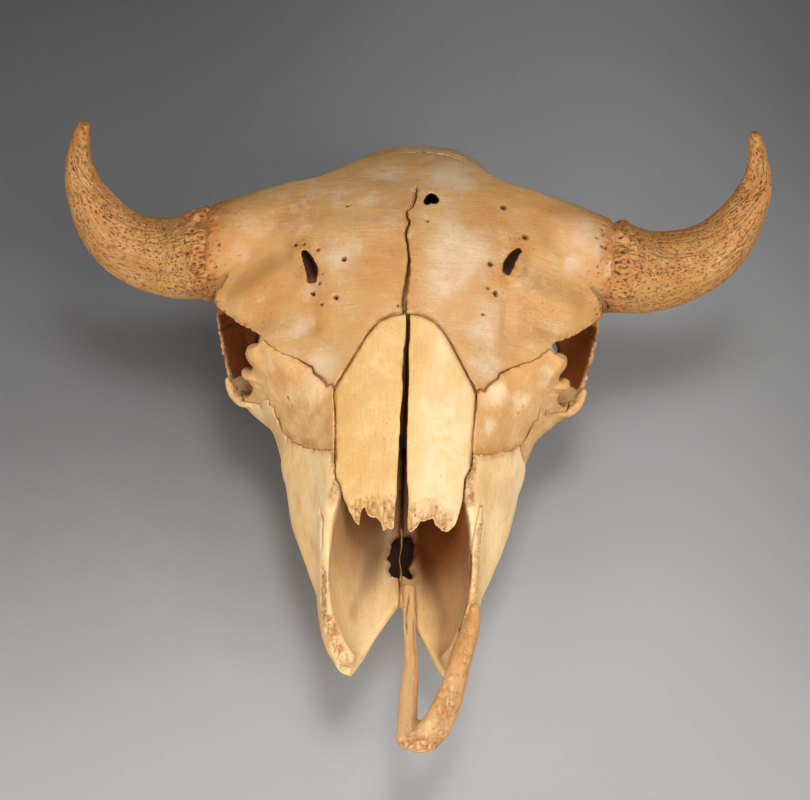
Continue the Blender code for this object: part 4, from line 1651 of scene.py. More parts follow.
    def nose(self) -> list[Thing]:
        """The nose's cavity, open in front and above, and its way out behind the palate.

        Returns:
            The cutting solids.
        """
        half, floor = profile(self.nose_half), profile(self.nose_floor)
        rings = []
        for y in (50, 60, 72, 85, 100, 120, 140, 158, 170, 176, 190, 210, 235, 254, 266, 286, 304):
            w, low = float(half(y)), float(floor(y))
            top = float(ROOF.along(y)) + 40 if y < 256 else 90.0
            rings.append(ring_at(y, [
                (0, top), (0.5 * w, top), (w, top - 3), (w, 0.5 * (top + low)), (0.94 * w, low + 24),
                (0.66 * w, low + 4), (0.35 * w, low - 2), (0, low),
            ], 72))
        return [
            loft("nose_cavity", rings),
            tube("choana", [(0, 290, 66), (0, 325, 66), (0, 362, 58), (0, 400, 40)], [26] * 4,
                 [24, 24, 22, 20]),
            tube("choana_mouth", [(0, 292, 62), (0, 312, 40), (0, 334, 12)], [20, 20, 20], [13, 13, 13]),
            tube("nasal_slit", [(0, 236, 190), (0, 300, 208)], [2.8, 2.4], [40, 32]),
        ]

    def hollows(self) -> list[Thing]:
        """Everything that is cut out of the fused head.

        Returns:
            The cutting solids.
        """
        gap = [[(0.5, 134, z), (1.5, 134, z), (48, 50, z), (-46, 50, z)] for z in (0, 70)]
        found = self.nose() + [
            loft("palate_gap", gap), ball("brain", (6, 442, 142), (34, 62, 36)),
            tube("brow_sinus", [(15.5, 412, 212), (15.5, 430, 192), (15.5, 455, 166)], [9, 12, 14],
                 [8, 11, 14],
                 tilt=(0, 1, 0)),
            tube("foramen_magnum", [(2, 470, 122), (4, 510, 100), (5, 562, 66)], [22, 20, 23], [22, 19, 22]),
        ]
        steps = ((-26, 1.2), (-12, 1.1), (0, 1), (12, 1.02), (26, 0.92), (36, 0.72), (41, 0.4))
        for side in Side:
            s = side.value
            found.append(loft("socket", [ORBIT.ring(side, *step) for step in steps]))
            found.append(tube("fissure", [(s * 112, 316, 146), (s * 108, 345, 114), (s * 105, 380, 74)],
                              [14, 15, 18], [13, 14, 16]))
            bore = 5.0 if side is Side.LEFT else 3.6
            found.append(tube("notch", [(s * 119, 294, 171), (s * 119, 316, 147), (s * 116, 348, 111)],
                              [bore, bore, bore + 3], [bore - 1, bore, bore + 3]))
        return found

    def build(self) -> Thing:
        """Fuses the head.

        Returns:
            The head as one closed skin.
        """
        pieces = [self.face(), self.forehead(), self.braincase()] + self.back()
        for side in Side:
            pieces += [HornCore().stump(side)] + self.socket(side) + self.underside(side)
        head = skinned("head", pieces, self.voxel, self.smoothing)
        head = worked(head, skinned("hollows", self.hollows(), self.voxel, 2), Cut.TAKE_AWAY)
        return skinned("head", [head] + self.knobs(Side.LEFT) + self.knobs(Side.RIGHT), self.voxel, 1)


@dataclass
class Nasal:
    """A nasal bone: a thin arched plate with a broken front end."""

    thickness: float = 5.5
    voxel: float = 0.9
    border: Pairs = (
        (1.6, 301), (12, 300), (22, 295.5), (32, 284), (41.5, 268), (49.5, 255), (54.5, 246), (53.8, 228),
        (52.6, 210), (51.7, 193),
    )
    fronts: dict[Side, Path] = field(default_factory=lambda: {
        Side.LEFT: (
            (47.3, 183), (47, 180.8), (46.7, 177.2), (46.1, 170.1), (45.5, 165), (44.1, 159),
            (42.7, 153.1), (41.3, 149.3), (39.1, 145.3), (36.9, 143.4), (34.6, 141.9), (31.6, 141.6),
            (29.3, 142.6), (27.8, 143.7), (26.2, 144.1), (25.1, 146.5), (23.9, 149.6), (22.3, 148.3),
            (20.1, 147.9), (17.9, 146.3), (14.9, 146.3), (13.4, 144.2), (12, 141.6), (10.5, 140),
            (8.3, 138.5), (6.1, 138.7),
        ),
        Side.RIGHT: (
            (50.7, 182.2), (49, 179.1), (46.5, 173.6), (44.6, 166.9), (42.5, 161.6), (40.4, 157.1),
            (38.4, 153.2), (37.1, 150.2), (35.1, 146.4), (32.4, 144.2), (30.9, 145), (31.1, 149.3),
            (30.2, 153.6), (28.6, 156.4), (27.1, 155), (25.9, 151.2), (23.5, 148.9), (20.5, 148.1),
            (18.2, 147.4), (15.9, 145.2), (14.7, 142), (13.5, 139.4), (12.3, 138.6), (11.2, 140.4),
            (10.1, 141.3), (9, 140), (7.4, 139.3),
        ),
    })
    slits: dict[Side, Pairs] = field(default_factory=lambda: {
        Side.LEFT: (
            (139.5, 4.6), (158, 5.0), (170, 4.2), (175, 3.3), (187, 2.9), (198, 2.5), (210, 2.1),
            (222, 2.5), (234, 2.1), (246, 2.4), (259, 2.0), (272, 1.6), (284, 2.0), (299, 1.6),
        ),
        Side.RIGHT: (
            (139.5, 5.3), (158, 4.8), (164, 3.9), (175, 4.2), (187, 3.9), (198, 3.6), (204, 3.8),
            (210, 3.2), (222, 3.6), (228, 3.1), (234, 2.5), (246, 2.2), (252, 3.1), (265, 2.8), (272, 3.0),
            (278, 1.7), (291, 1.3), (299, 1.5),
        ),
    })

    def outline(self, side: Side, grow: float = 0.0) -> np.ndarray:
        """The bone's plan.

        Args:
            side: The side of the head.
            grow: How far it is moved outward.

        Returns:
            The plan outline.
        """
        edge = profile(self.slits[side])
        seed = 3 if side is Side.LEFT else 4
        outer = ragged(self.border, 2.4, 0.45, seed)
        front = ragged((self.border[-1],) + self.fronts[side], 1.8, 0.55, seed + 20)
        inner = [(float(edge(y)), y) for y in np.linspace(140.5, 298, 40)]
        inner = ragged(inner, 3.0, 0.25, seed + 40)
        return mirror(widened(np.vstack([outer, front[1:], inner]), grow), side)

    def bed(self, side: Side) -> Thing:
        """What the bone takes the place of in the head, open above."""
        return slab("nasal_bed", self.outline(side, SUTURE_GAP), lambda x, y: ROOF.height(x, y) + 40,
                    lambda x, y: ROOF.height(x, y) - self.thickness - SUTURE_GAP, 5)

    def build(self, side: Side) -> Thing:
        """Makes the bone.

        Args:
            side: The side of the head.

        Returns:
            The piece.
        """

        def under(x: np.ndarray, y: np.ndarray) -> np.ndarray:
            """The lower face, nearer the upper one towards the broken end."""
            return ROOF.height(x, y) - 2.0 - (self.thickness - 2.0) * ease(138, 190, y)

        plate = slab("plate", self.outline(side), ROOF.height, under, 10)
        skin = Skin(skinned("nasal_bone_" + side.word, [plate], self.voxel, 1))
        x, y, _ = skin.rest.T
        seed = 80 + side.value
        upper = ease(0.2, 0.6, skin.out[:, 2])
        reach = 157 if side is Side.LEFT else 160
        broken = ease(reach + 7, reach - 4, y + 8 * ripple(skin.rest, 9, seed)) * ease(43, 36, np.abs(x))
        skin.undulate(30, 0.5, seed, upper)
        skin.undulate(9, 0.12, seed + 1, upper)
        streaks = skin.rest * (1, 0.25, 1)
        skin.push(-0.12 * np.abs(cloud(streaks, 3.0, seed + 6)) * upper - 0.6 * broken * upper)
        skin.broken(broken * upper, 1.6, seed + 2, (1, 0.3, 1))
        skin.seam(Sutures().on_roof(self.border, side), seed + 20)
        skin.pit(9.0, 0.7, seed + 4, 0.22 * upper, 0.8, 0.08)
        skin.pit(4.0, 0.3, seed + 8, 0.12 * upper, 0.45, 0.12)
        speckled = 0.35 * broken * ripple(skin.rest, 5, seed + 7)
        skin.mark("rust", 0.22 * ease(0.0, 0.8, cloud(streaks, 22, seed + 5)) + speckled)
        # Pale patches on the left nasal only: bleached bone, and painted light on the side that faces the key
        # lamp.
        if side is Side.LEFT:
            skin.mark("pale", 0.75 * ease(-0.5, 0.4, cloud(streaks, 26, seed + 9)) * upper)
        # Painted shade on the plate's underside.
        skin.mark("hollow", 0.9 * ease(-0.2, -0.7, skin.out[:, 2]))
        return skin.done()


@dataclass
class Premaxilla:
    """The front bone of the left side: body, branch up to the maxilla and inner prong, its tip broken."""

    voxel: float = 0.75
    body: Path = (
        (19, 15, 34), (31, 27, 38), (38.5, 42, 44), (44.5, 60, 51), (51, 82, 61), (56.5, 100, 70),
        (58, 112, 76),
    )
    prong: Path = ((10, 16, 33), (9.5, 32, 34), (10, 49, 36), (11, 82, 39), (9, 118, 44), (7.5, 146, 51))

    def shape(self, voxel: float) -> Thing:
        """The bone's plain shape.

        Args:
            voxel: The spacing of its skin.

        Returns:
            The bone.
        """
        return skinned("premaxilla_bone", [
            tube("body", self.body, [10, 12, 11, 9.5, 8.5, 6.5, 3.5], [6, 6.5, 6.5, 7, 8, 7, 4],
                 tilt=(0.5, -0.2, 0.85)),
            tube("prong", self.prong, [8.5, 7.5, 6.4, 5, 5.3, 4.2], [5.5, 5.2, 5, 4.5, 4.5, 3.5]),
            ball("tip", (18.5, 20.5, 33), (18, 14.5, 6)),
        ], voxel, 2)

    def bed(self) -> Thing:
        """What the bone takes the place of in the head.

        Returns:
            The solid.
        """
        bed = self.shape(1.5)
        skin = Skin(bed)
        skin.push(np.full(len(skin.at), SUTURE_GAP))
        bed.data.vertices.foreach_set("co", skin.at.astype(np.float32).ravel())
        return bed

    def build(self) -> Thing:
        """Makes the bone.

        Returns:
            The piece.
        """
        skin = Skin(self.shape(self.voxel))
        x, y, _ = skin.rest.T
        upper = ease(-0.1, 0.5, skin.out[:, 2])
        tip = ease(21, 12, y + 4 * ripple(skin.rest, 6, 91))
        branch = ease(26, 34, x) * ease(112, 70, y)
        strand = ease(20, 14, x)
        skin.undulate(14, 0.8, 92)
        skin.push(-0.45 * np.abs(cloud(skin.rest * (1, 0.2, 1), 3.4, 93)))
        skin.push(-1.1 * strand * upper * ease(0.5, 3.0, np.abs(x - 12.5)) * ease(5.5, 3.5, np.abs(x - 12.5)))
        skin.broken(tip, 1.7, 94)
        skin.broken(0.8 * branch * upper * ease(-0.4, 0.3, cloud(skin.rest, 9, 99)), 1.0, 87, (1, 0.6, 1))
        skin.pit(2.8, 0.8, 95, 0.55 * branch * upper + 0.2 * upper, 0.6, 0.34)
        skin.pit(6.0, 0.6, 96, 0.3, 0.7, 0.12)
        skin.groove([(12, 36, 39), (16, 30, 40), (22, 34, 40), (27, 44, 42)], 2.2, 1.6, 0.7)
        skin.groove([(8, 100, 44), (5, 118, 48), (7, 128, 50), (9, 142, 55)], 2.2, 1.6, 0.8)
        skin.groove([(36, 36, 45), (43, 60, 54), (50, 84, 64), (56, 104, 74)], 1.8, 0.9, 0.5)
        skin.groove([(14, 84, 43.5), (13, 100, 45), (11.5, 124, 48)], 1.6, 0.8, 0.5)
        skin.groove([(55, 105, 78), (56.5, 108.5, 79.5)], 3.2, -1.4)
        skin.mark("pale", 0.45 * branch * ease(0.1, 0.6, cloud(skin.rest, 7, 97)) + 0.2 * strand)
        skin.mark("rust", 0.5 * ease(-0.1, 0.6, cloud(skin.rest * (1, 0.3, 1), 12, 98)))
        return skin.done()


@dataclass
class Sutures:
    """The lines along which the head comes apart, in plan, given for the left and used for both sides."""

    midline: Pairs = (
        (4.5, 486), (4, 440), (3.9, 416.7), (1.0, 398.6), (-3.9, 391), (-1.8, 380), (-3.9, 368),
        (-1.6, 355), (-0.7, 345), (-1.8, 328.5), (-3.5, 311.7), (-2.6, 303),
    )
    crack: Pairs = (
        (300, 1.9), (312, 1.8), (330, 1.5), (345, 0.95), (360, 0.6), (380, 0.7), (398, 0.5), (414, 0.35),
        (420, 0.0),
    )
    nasofrontal: Pairs = ((6, 302), (12, 300.5), (22.5, 296), (32, 284), (41.5, 268), (49.5, 255), (55, 247))
    frontolacrimal: Pairs = (
        (55, 247), (57, 250.5), (61, 250.5), (63.5, 255.5), (71.5, 263.5), (73, 268), (86, 277),
        (100, 285.5), (113, 298),
    )
    lower_lacrimal: Pairs = (
        (53, 202), (63, 211), (75, 225), (86, 238), (95, 250), (98.5, 260), (103, 267), (110, 275.5),
        (121, 287),
    )

    def parting(self) -> np.ndarray:
        """The midline's zigzag, from front to back."""
        return ragged(self.midline, 1.8, 0.85, 9)[::-1]

    def inner(self, side: Side, lap: float) -> np.ndarray:
        """The midline as a side's region has it.

        Args:
            side: The side: the left ends at the line, the right reaches past it to what the left has left.
            lap: How far the left reaches over where the two have grown together.

        Returns:
            The line from front to back.
        """
        if side is Side.LEFT:
            line = self.parting()
            return line + (0.1, 0) - np.outer(ease(419, 427, line[:, 1]), (lap, 0))
        return np.array([(-8.0, 306.0), (-8.0, 483.0)])

    def on_roof(self, line: Path, side: Side) -> np.ndarray:
        """A seam's plan line laid on the upper surface."""
        flat = mirror(line, side)
        return np.column_stack([flat, ROOF.height(flat[:, 0], flat[:, 1])])

    def crack_wall(self) -> Thing:
        """The open crack between the two halves of the forehead.

        Returns:
            The cutting solid.
        """
        line = self.parting()
        line = line[(line[:, 1] > 300) & (line[:, 1] < 419)]
        half = profile(self.crack)(line[:, 1]) + 0.18
        chips = 0.7 * cloud(line, 3.0, 12, 2) * np.minimum(half, 0.8)
        right = np.column_stack([line[:, 0] + half + chips, line[:, 1]])
        left = np.column_stack([line[:, 0] - half, line[:, 1]])
        outline = np.vstack([right, left[::-1]])
        return slab("crack", outline, level(240), lambda x, y: ROOF.height(x, y) - 17, 0)

    def belt(self, side: Side) -> np.ndarray:
        """The porous seam between the lacrimal and the maxilla, in space.

        Args:
            side: The side of the head.

        Returns:
            The points, one row each.
        """
        rows = (
            (94.5, 249.8, 105.7), (88.3, 240.4, 109.5), (75.4, 225.3, 122.9), (65.3, 213.2, 133.9),
            (54.6, 201, 145.2),
        )
        return sided(rows, side)

    def porous(self, skin: Skin, side: Side, seed: int) -> None:
        """Opens pores along the belt, with painted shade in them, and stains it.

        Args:
            skin: The surface.
            side: The side of the head.
            seed: Which patterns to draw.
        """
        seam, _ = skin.near(self.belt(side), 9)
        skin.pit(2.8, 0.9, seed, 0.75 * ease(6, 1.5, seam), 0.7, 0.3)
        skin.mark("rust", 0.6 * ease(8, 1, seam + 3 * cloud(skin.rest, 6, seed + 1)))

    def column(self, outline: Path, low: Height | float, high: float, grow: float, rings: int = 0) -> Thing:
        """A region over a plan outline between two heights.

        Args:
            outline: The outline.
            low: The bottom's height, or a function that gives it.
            high: The top's height.
            grow: How far the region is blown up all round.
            rings: How many rings of faces follow the bottom.

        Returns:
            The region.
        """

        def bottom(x: np.ndarray, y: np.ndarray) -> np.ndarray:
            """The bottom's height over the plan."""
            return (low(x, y) if callable(low) else low + 0 * x) - grow

        return slab("region", widened(outline, grow), level(high + grow), bottom, rings)

    def horn(self, side: Side, grow: float = 0.0) -> Thing:
        """Beyond the burr."""
        return self.column(mirror([(168, 300), (330, 300), (330, 520), (168, 520)], side), 60, 330, grow)

    def frontal(self, side: Side, grow: float = 0.0) -> Thing:
        """Between the nasals, lacrimal, eye socket and the back of the forehead, down through the pedicle.

        Args:
            side: The side of the head.
            grow: How far the region is blown up; the bone's own region laps over the grown-together midline.

        Returns:
            The region.
        """
        nose = ragged(self.nasofrontal, 2.6, 0.5, 14 + side.value)
        tear = ragged(self.frontolacrimal, 3.0, 0.9, 24 + side.value)
        outer = [(128, 300), (150, 316), (172, 334), (172, 470), (100, 478), (60, 472), (30, 481)]
        inner = self.inner(side, 0.0 if grow else 2.6)
        outline = np.vstack([inner[:1], nose, tear[1:], outer, inner[::-1]])[:-1]
        grown_together = (np.abs(outline[:, 0]) < 10) & (outline[:, 1] > 424)
        outline = widened(outline, np.where(grown_together, 0.0, grow))

        def low(x: np.ndarray, y: np.ndarray) -> np.ndarray:
            """Thin over the nose and brain, deep at the sides.

            Args:
                x: The places across.
                y: The places along.

            Returns:
                The heights.
            """
            roof = ROOF.height(np.minimum(np.abs(x), 150), y) - 15
            deep = 136 - 12 * ease(345, 375, y)
            share = ease(50, 90, np.abs(x))
            return roof * (1 - share) + deep * share

        return self.column(mirror(outline, side), lambda x, y: low(x, y) - grow, 330, 0.0, 6)

    def lacrimal(self, side: Side, grow: float = 0.0) -> Thing:
        """In front of the eye socket.

        Args:
            side: The side of the head.
            grow: How far it is blown up all round.

        Returns:
            The solid.
        """
        low = ragged(self.lower_lacrimal, 3.0, 0.8, 34 + side.value)
        outer = [(131, 292), (134, 305), (116, 304), (96, 300), (80, 290), (64, 270), (56, 252), (53, 235)]
        outline = mirror(np.vstack([low, outer]), side)
        return self.column(outline, lambda x, y: 130 - 0.62 * (np.abs(x) - 53), 260, grow)

    def cheek(self, side: Side, grow: float = 0.0) -> Thing:
        """The cheek bone: the lower rim of the eye socket and the front of the arch.

        Args:
            side: The side of the head.
            grow: How far it is blown up all round.

        Returns:
            The solid.
        """
        seam = ragged(((112, 246), (94, 246), (90, 262)), 3.0, 0.8, 44 + side.value)
        outer = [
            (90, 322), (100, 345), (116, 366), (120, 386), (150, 392), (176, 350), (170, 310), (140, 270),
        ]
        return self.column(mirror(np.vstack([seam, outer]), side), 55, 200, grow)

    def palatine(self, grow: float = 0.0) -> Thing:
        """The back of the hard palate and the plates behind it.

        Args:
            grow: How far it is blown up all round.

        Returns:
            The solid.
        """
        front = self.column([(-36, 266), (36, 266), (39, 304), (-39, 304)], 10, 54, grow)
        back = self.column([(-39, 303), (39, 303), (40, 374), (-40, 374)], 10, 84, grow)
        return worked(front, back, Cut.JOIN)

    def maxilla(self, side: Side, grow: float = 0.0) -> Thing:
        """What is left of one side of the face.

        Args:
            side: The side of the head.
            grow: How far it is blown up all round.

        Returns:
            The solid.
        """
        inner = 0.2 if side is Side.LEFT else -6.0
        outline = [(inner, 40), (90, 40), (150, 200), (150, 309), (inner, 309)]
        return self.column(mirror(outline, side), -40, 300, grow)


@dataclass
class Bone:
    """A bone parted from the head; each kind adds its own tools and its own weathering."""

    piece: str = ""
    voxel: float = 1.2
    smoothing: int = 1
    seed: int = 0

    def tooled(self, block: Thing, side: Side | None) -> Thing:
        """The block after the bone's own tools have met it."""
        return block

    def weather(self, skin: Skin, side: Side | None, seed: int) -> None:
        """Works the bone's own surface in; each kind has its own."""
        raise NotImplementedError

    def build(self, block: Thing, side: Side | None = None) -> Thing:
        """Makes the bone.

        Args:
            block: Its part of the head.
            side: The side of the head, or None for a bone on the middle.

        Returns:
            The piece.
        """
        name = self.piece + ("_" + side.word if side else "")
        skin = Skin(largest(skinned(name, [self.tooled(block, side)], self.voxel, self.smoothing)))
        self.weather(skin, side, self.seed + (side.value * 5 if side else 0))
        return skin.done()


@dataclass
class Frontal(Bone):
    """One half of the forehead, with the pedicle of its horn."""

    piece: str = "frontal_bone"
    smoothing: int = 2
    seed: int = 100
    slots: dict[Side, Path] = field(default_factory=lambda: {
        Side.RIGHT: ((-86, 363, 199.5), (-81, 353, 197), (-76.5, 342, 195), (-77, 333, 195)),
        Side.LEFT: ((88, 369, 203), (82, 361, 199), (77.5, 351, 198), (76, 344, 199.5)),
    })
    valleys: dict[Side, Path] = field(default_factory=lambda: {
        Side.RIGHT: (
            (-153.7, 345, 163.9), (-137.7, 350, 177.6), (-122.4, 359.3, 191.6), (-106, 365, 199),
            (-92, 366, 204),
        ),
        Side.LEFT: (
            (150, 348, 168), (130, 352, 182), (112, 352, 190), (98.4, 353, 197.4), (87.6, 353, 200.2),
        ),
    })
    ridges: dict[Side, Path] = field(default_factory=lambda: {
        Side.RIGHT: ((-146, 333, 163), (-128, 338, 176), (-110, 345, 188), (-94, 352, 198)),
        Side.LEFT: ((140, 336, 166), (124, 338, 178), (106, 341, 189), (90, 344, 197)),
    })
    runnels: dict[Side, Path] = field(default_factory=lambda: {
        Side.RIGHT: ((-77, 338, 199), (-77, 325, 193), (-75, 308, 186), (-72, 290, 178)),
        Side.LEFT: ((78, 346, 201), (78, 336.5, 197.3), (79.2, 322, 190), (78.8, 306, 182), (78, 288, 175)),
    })
    foramina: dict[Side, tuple] = field(default_factory=lambda: {
        Side.RIGHT: (
            (-91.5, 365.4, 204.3, 1.5), (-84.6, 364.6, 205.8, 1.2), (-73, 358.0, 205.7, 1.5),
            (-51.8, 347.8, 207.6, 2.0), (-76.1, 323.6, 191.9, 1.6), (-68.0, 313.8, 189.6, 1.1),
            (-71.2, 330.8, 196.9, 1.2), (-56.7, 317.2, 194.5, 1.6), (-51.0, 397.6, 218.5, 1.2),
            (-8, 307, 197, 1.1),
        ),
        Side.LEFT: (
            (92.1, 379.7, 208.0, 2.0), (63.7, 349.3, 205.8, 2.0), (68.5, 326.3, 195.5, 1.9),
            (74.1, 405.0, 216.1, 2.2), (13.4, 381.2, 219.8, 1.2), (62.5, 329.0, 197.5, 1.2),
            (58.9, 308.7, 189.9, 1.0), (116.9, 394.8, 208.4, 0.9), (113.9, 386.8, 205.2, 1.2),
        ),
    })
    bleached: dict[Side, tuple] = field(default_factory=lambda: {
        Side.RIGHT: (
            (-137, 370, 187, 14), (-128, 388, 196, 13), (-58, 350, 207, 24), (-84, 300, 180, 12),
            (-66, 262, 172, 20), (-78, 330, 194, 12), (-20, 440, 214, 26),
        ),
        Side.LEFT: (
            (36, 360, 210, 34), (60, 300, 186, 26), (64, 266, 173, 22), (134, 368, 188, 14),
            (30, 330, 204, 22), (30, 440, 214, 26), (146, 388, 203, 30),
        ),
    })
    rusty: dict[Side, tuple] = field(default_factory=lambda: {
        Side.RIGHT: (
            (-24, 350, 212, 40), (-70, 320, 192, 22), (-110, 330, 184, 34), (-96, 395, 210, 36),
            (-66, 358, 206, 14), (-10, 390, 220, 26), (-140, 385, 190, 34),
        ),
        Side.LEFT: (
            (66, 330, 198, 22), (100, 320, 183, 34), (72, 362, 206, 16), (60, 390, 214, 30),
            (120, 400, 205, 30), (140, 360, 182, 26),
        ),
    })

    def slot_tool(self, side: Side) -> Thing:
        """The open end of the channel above the eye socket."""
        return tube("slot", self.slots[side], [2.6, 4.6, 5.2, 3.4], [4.0, 8.5, 9.0, 3.5])

    def bore_tool(self) -> Thing:
        """The small half-round hole broken through the roof of the braincase.

        Returns:
            The cutting solid.
        """
        rim = [
            (9.2, 403.8), (11.5, 409.6), (15.5, 413.4), (19.6, 411), (22, 405.7), (21, 401.5),
            (18.2, 399.8), (15.5, 401.4), (12.6, 398.6), (10.2, 399.6),
        ]
        rim = ragged(rim + rim[:1], 2.2, 0.5, 71)[:-1]
        return loft("bore", [[(x, y + (221 - z) * 0.9, z) for x, y in rim] for z in (238, 186)])

    def tooled(self, block: Thing, side: Side | None) -> Thing:
        """The block with the slot and, on the left, the hole through the roof."""
        block = worked(block, self.slot_tool(side), Cut.TAKE_AWAY)
        return worked(block, self.bore_tool(), Cut.TAKE_AWAY) if side is Side.LEFT else block

    def weather(self, skin: Skin, side: Side | None, seed: int) -> None:
        """Works the bone's own surface in.

        Args:
            skin: The surface.
            side: The side of the head.
            seed: Which patterns to draw.
        """
        x, y, z = skin.rest.T
        reach = np.abs(x)
        upper = ease(0.1, 0.5, skin.out[:, 2]) * ease(-22, -6, z - ROOF.height(x, y))
        skin.groove(self.valleys[side], 22, 3.4)
        skin.groove(self.ridges[side], 20, -2.0)
        skin.groove(self.runnels[side], 9, 1.7)
        lines = Sutures()
        for seam in (lines.nasofrontal, lines.frontolacrimal):
            skin.seam(lines.on_roof(seam, side), seed + 20)
        middle = np.array([p for p in lines.midline if p[1] < 424])
        skin.seam(lines.on_roof(middle * (side.value, 1), side), seed + 21)
        skin.undulate(38, 1.1, 104, upper)
        skin.undulate(13, 0.35, 105, upper)
        skin.undulate(4, 0.07, 106, upper)
        skin.groove(CREASE, 7, 0.6)
        across = skin.rest * FIBRES
        skin.push(-0.22 * np.abs(cloud(across, 3.2, 107, 2)) * ease(385, 415, y) * upper)
        lap = np.abs(x - 4)
        skin.push(0.16 * ease(5, 1, lap) * ease(424, 432, y) * upper * (side is Side.LEFT))
        self.collar(skin, seed)
        self.rim(skin, side, seed)
        for px, py, pz, radius in self.foramina[side]:
            skin.hole((px, py, float(ROOF.height(px, py))), radius, radius * 2.2)
        roof_pores = ease(84, 120, reach) * ease(356, 338, y) * upper
        skin.pit(3.0, 0.5, seed + 4, 0.5 * roof_pores, 0.6, 0.32)
        skin.pit(11, 0.8, seed + 5, 0.30 * upper, 0.8, 0.075)
        skin.pit(4.2, 0.4, seed + 12, 0.16 * upper, 0.6, 0.19)
        # Painted shadow inside the slot, darkest at its upper end.
        sunk = ease(0.8, 3.2, ROOF.height(x, y) - z)
        around, passed = skin.near(self.slots[side], 20)
        inner = sunk * ease(15, 12, around)
        skin.mark("hollow", inner * ease(1.0, 0.45, passed))
        skin.mark("shade", inner * (0.25 + 0.7 * ease(0.75, 0.45, passed)))
        ring = 0.5 * ease(15, 9, around + 3 * cloud(skin.rest, 7, seed + 17))
        skin.pit(3.2, 0.9, seed + 16, ring, 0.85, 0.34)
        for line, reach_out, amount in ((self.slots[side], 20, 0.75), (self.runnels[side], 16, 0.4)):
            distance, _ = skin.near(line, reach_out)
            ragged_edge = distance + 5 * cloud(skin.rest, 8, seed + 13)
            skin.mark("rust", amount * ease(reach_out, 3, ragged_edge) * upper)
        split = np.abs(x + 1.0) + 5 * cloud(skin.rest, 9, seed + 14)
        skin.mark("rust", 0.45 * ease(14, 2, split) * ease(425, 400, y) * upper)
        for name, patches, amount in (("pale", self.bleached, 0.6), ("rust", self.rusty, 0.45)):
            for px, py, pz, radius in patches[side]:
                skin.patch(name, (px, py, pz), radius, amount)
        band = ease(368, 392, y) * ease(446, 424, y) * (0.5 + 0.5 * ease(-0.4, 0.5, cloud(across, 5, 108)))
        skin.mark("shade", 0.17 * band * ease(20, -20, x + 10 * cloud(skin.rest, 30, 109)) * upper)
        # Painted shade on the underside towards the temples.
        skin.mark("hollow", 0.4 * ease(-10, -24, z - ROOF.height(x, y)) * ease(130, 118, reach))

    def collar(self, skin: Skin, seed: int) -> None:
        """Roughens the pedicle's end, where the horn core begins.

        Args:
            skin: The surface.
            seed: Which patterns to draw.
        """
        reach = np.abs(skin.rest[:, 0])
        burr = ease(143, 160, reach + 7 * ripple(skin.rest, 10, seed + 7))
        skin.push(burr * (1.2 * cloud(skin.rest, 8, seed + 8) - 0.2) - 3.0 * ease(161, 167, reach))
        skin.pit(4.6, 2.0, seed + 9, 0.9 * burr, 0.9, 0.42)
        skin.pit(2.8, 1.0, seed + 10, 0.8 * burr, 0.75, 0.42)
        skin.pit(4.2, 0.9, seed + 15, 0.4 * ease(118, 146, reach), 0.75, 0.26)
        skin.mark("rust", 0.75 * burr + 0.25 * ease(120, 150, reach))

    def rim(self, skin: Skin, side: Side, seed: int) -> None:
        """Chips the thin edge of the eye socket and puts painted shade inside it.

        Args:
            skin: The surface.
            side: The side of the head.
            seed: Which patterns to draw.
        """
        distance, _ = skin.near(ORBIT.line(side), 9)
        z_under = skin.rest[:, 2] - ROOF.height(skin.rest[:, 0], skin.rest[:, 1])
        edge = ease(5, 1.5, distance)
        skin.crust(edge, 0.9, seed + 11)
        skin.mark("rust", 0.4 * ease(9, 3, distance))
        deep = ease(1, 6, ORBIT.depth_of(skin.rest, side)) * ease(0.75, 0.3, skin.out[:, 2])
        skin.mark("hollow", deep * ease(-0.5, -2.5, z_under))


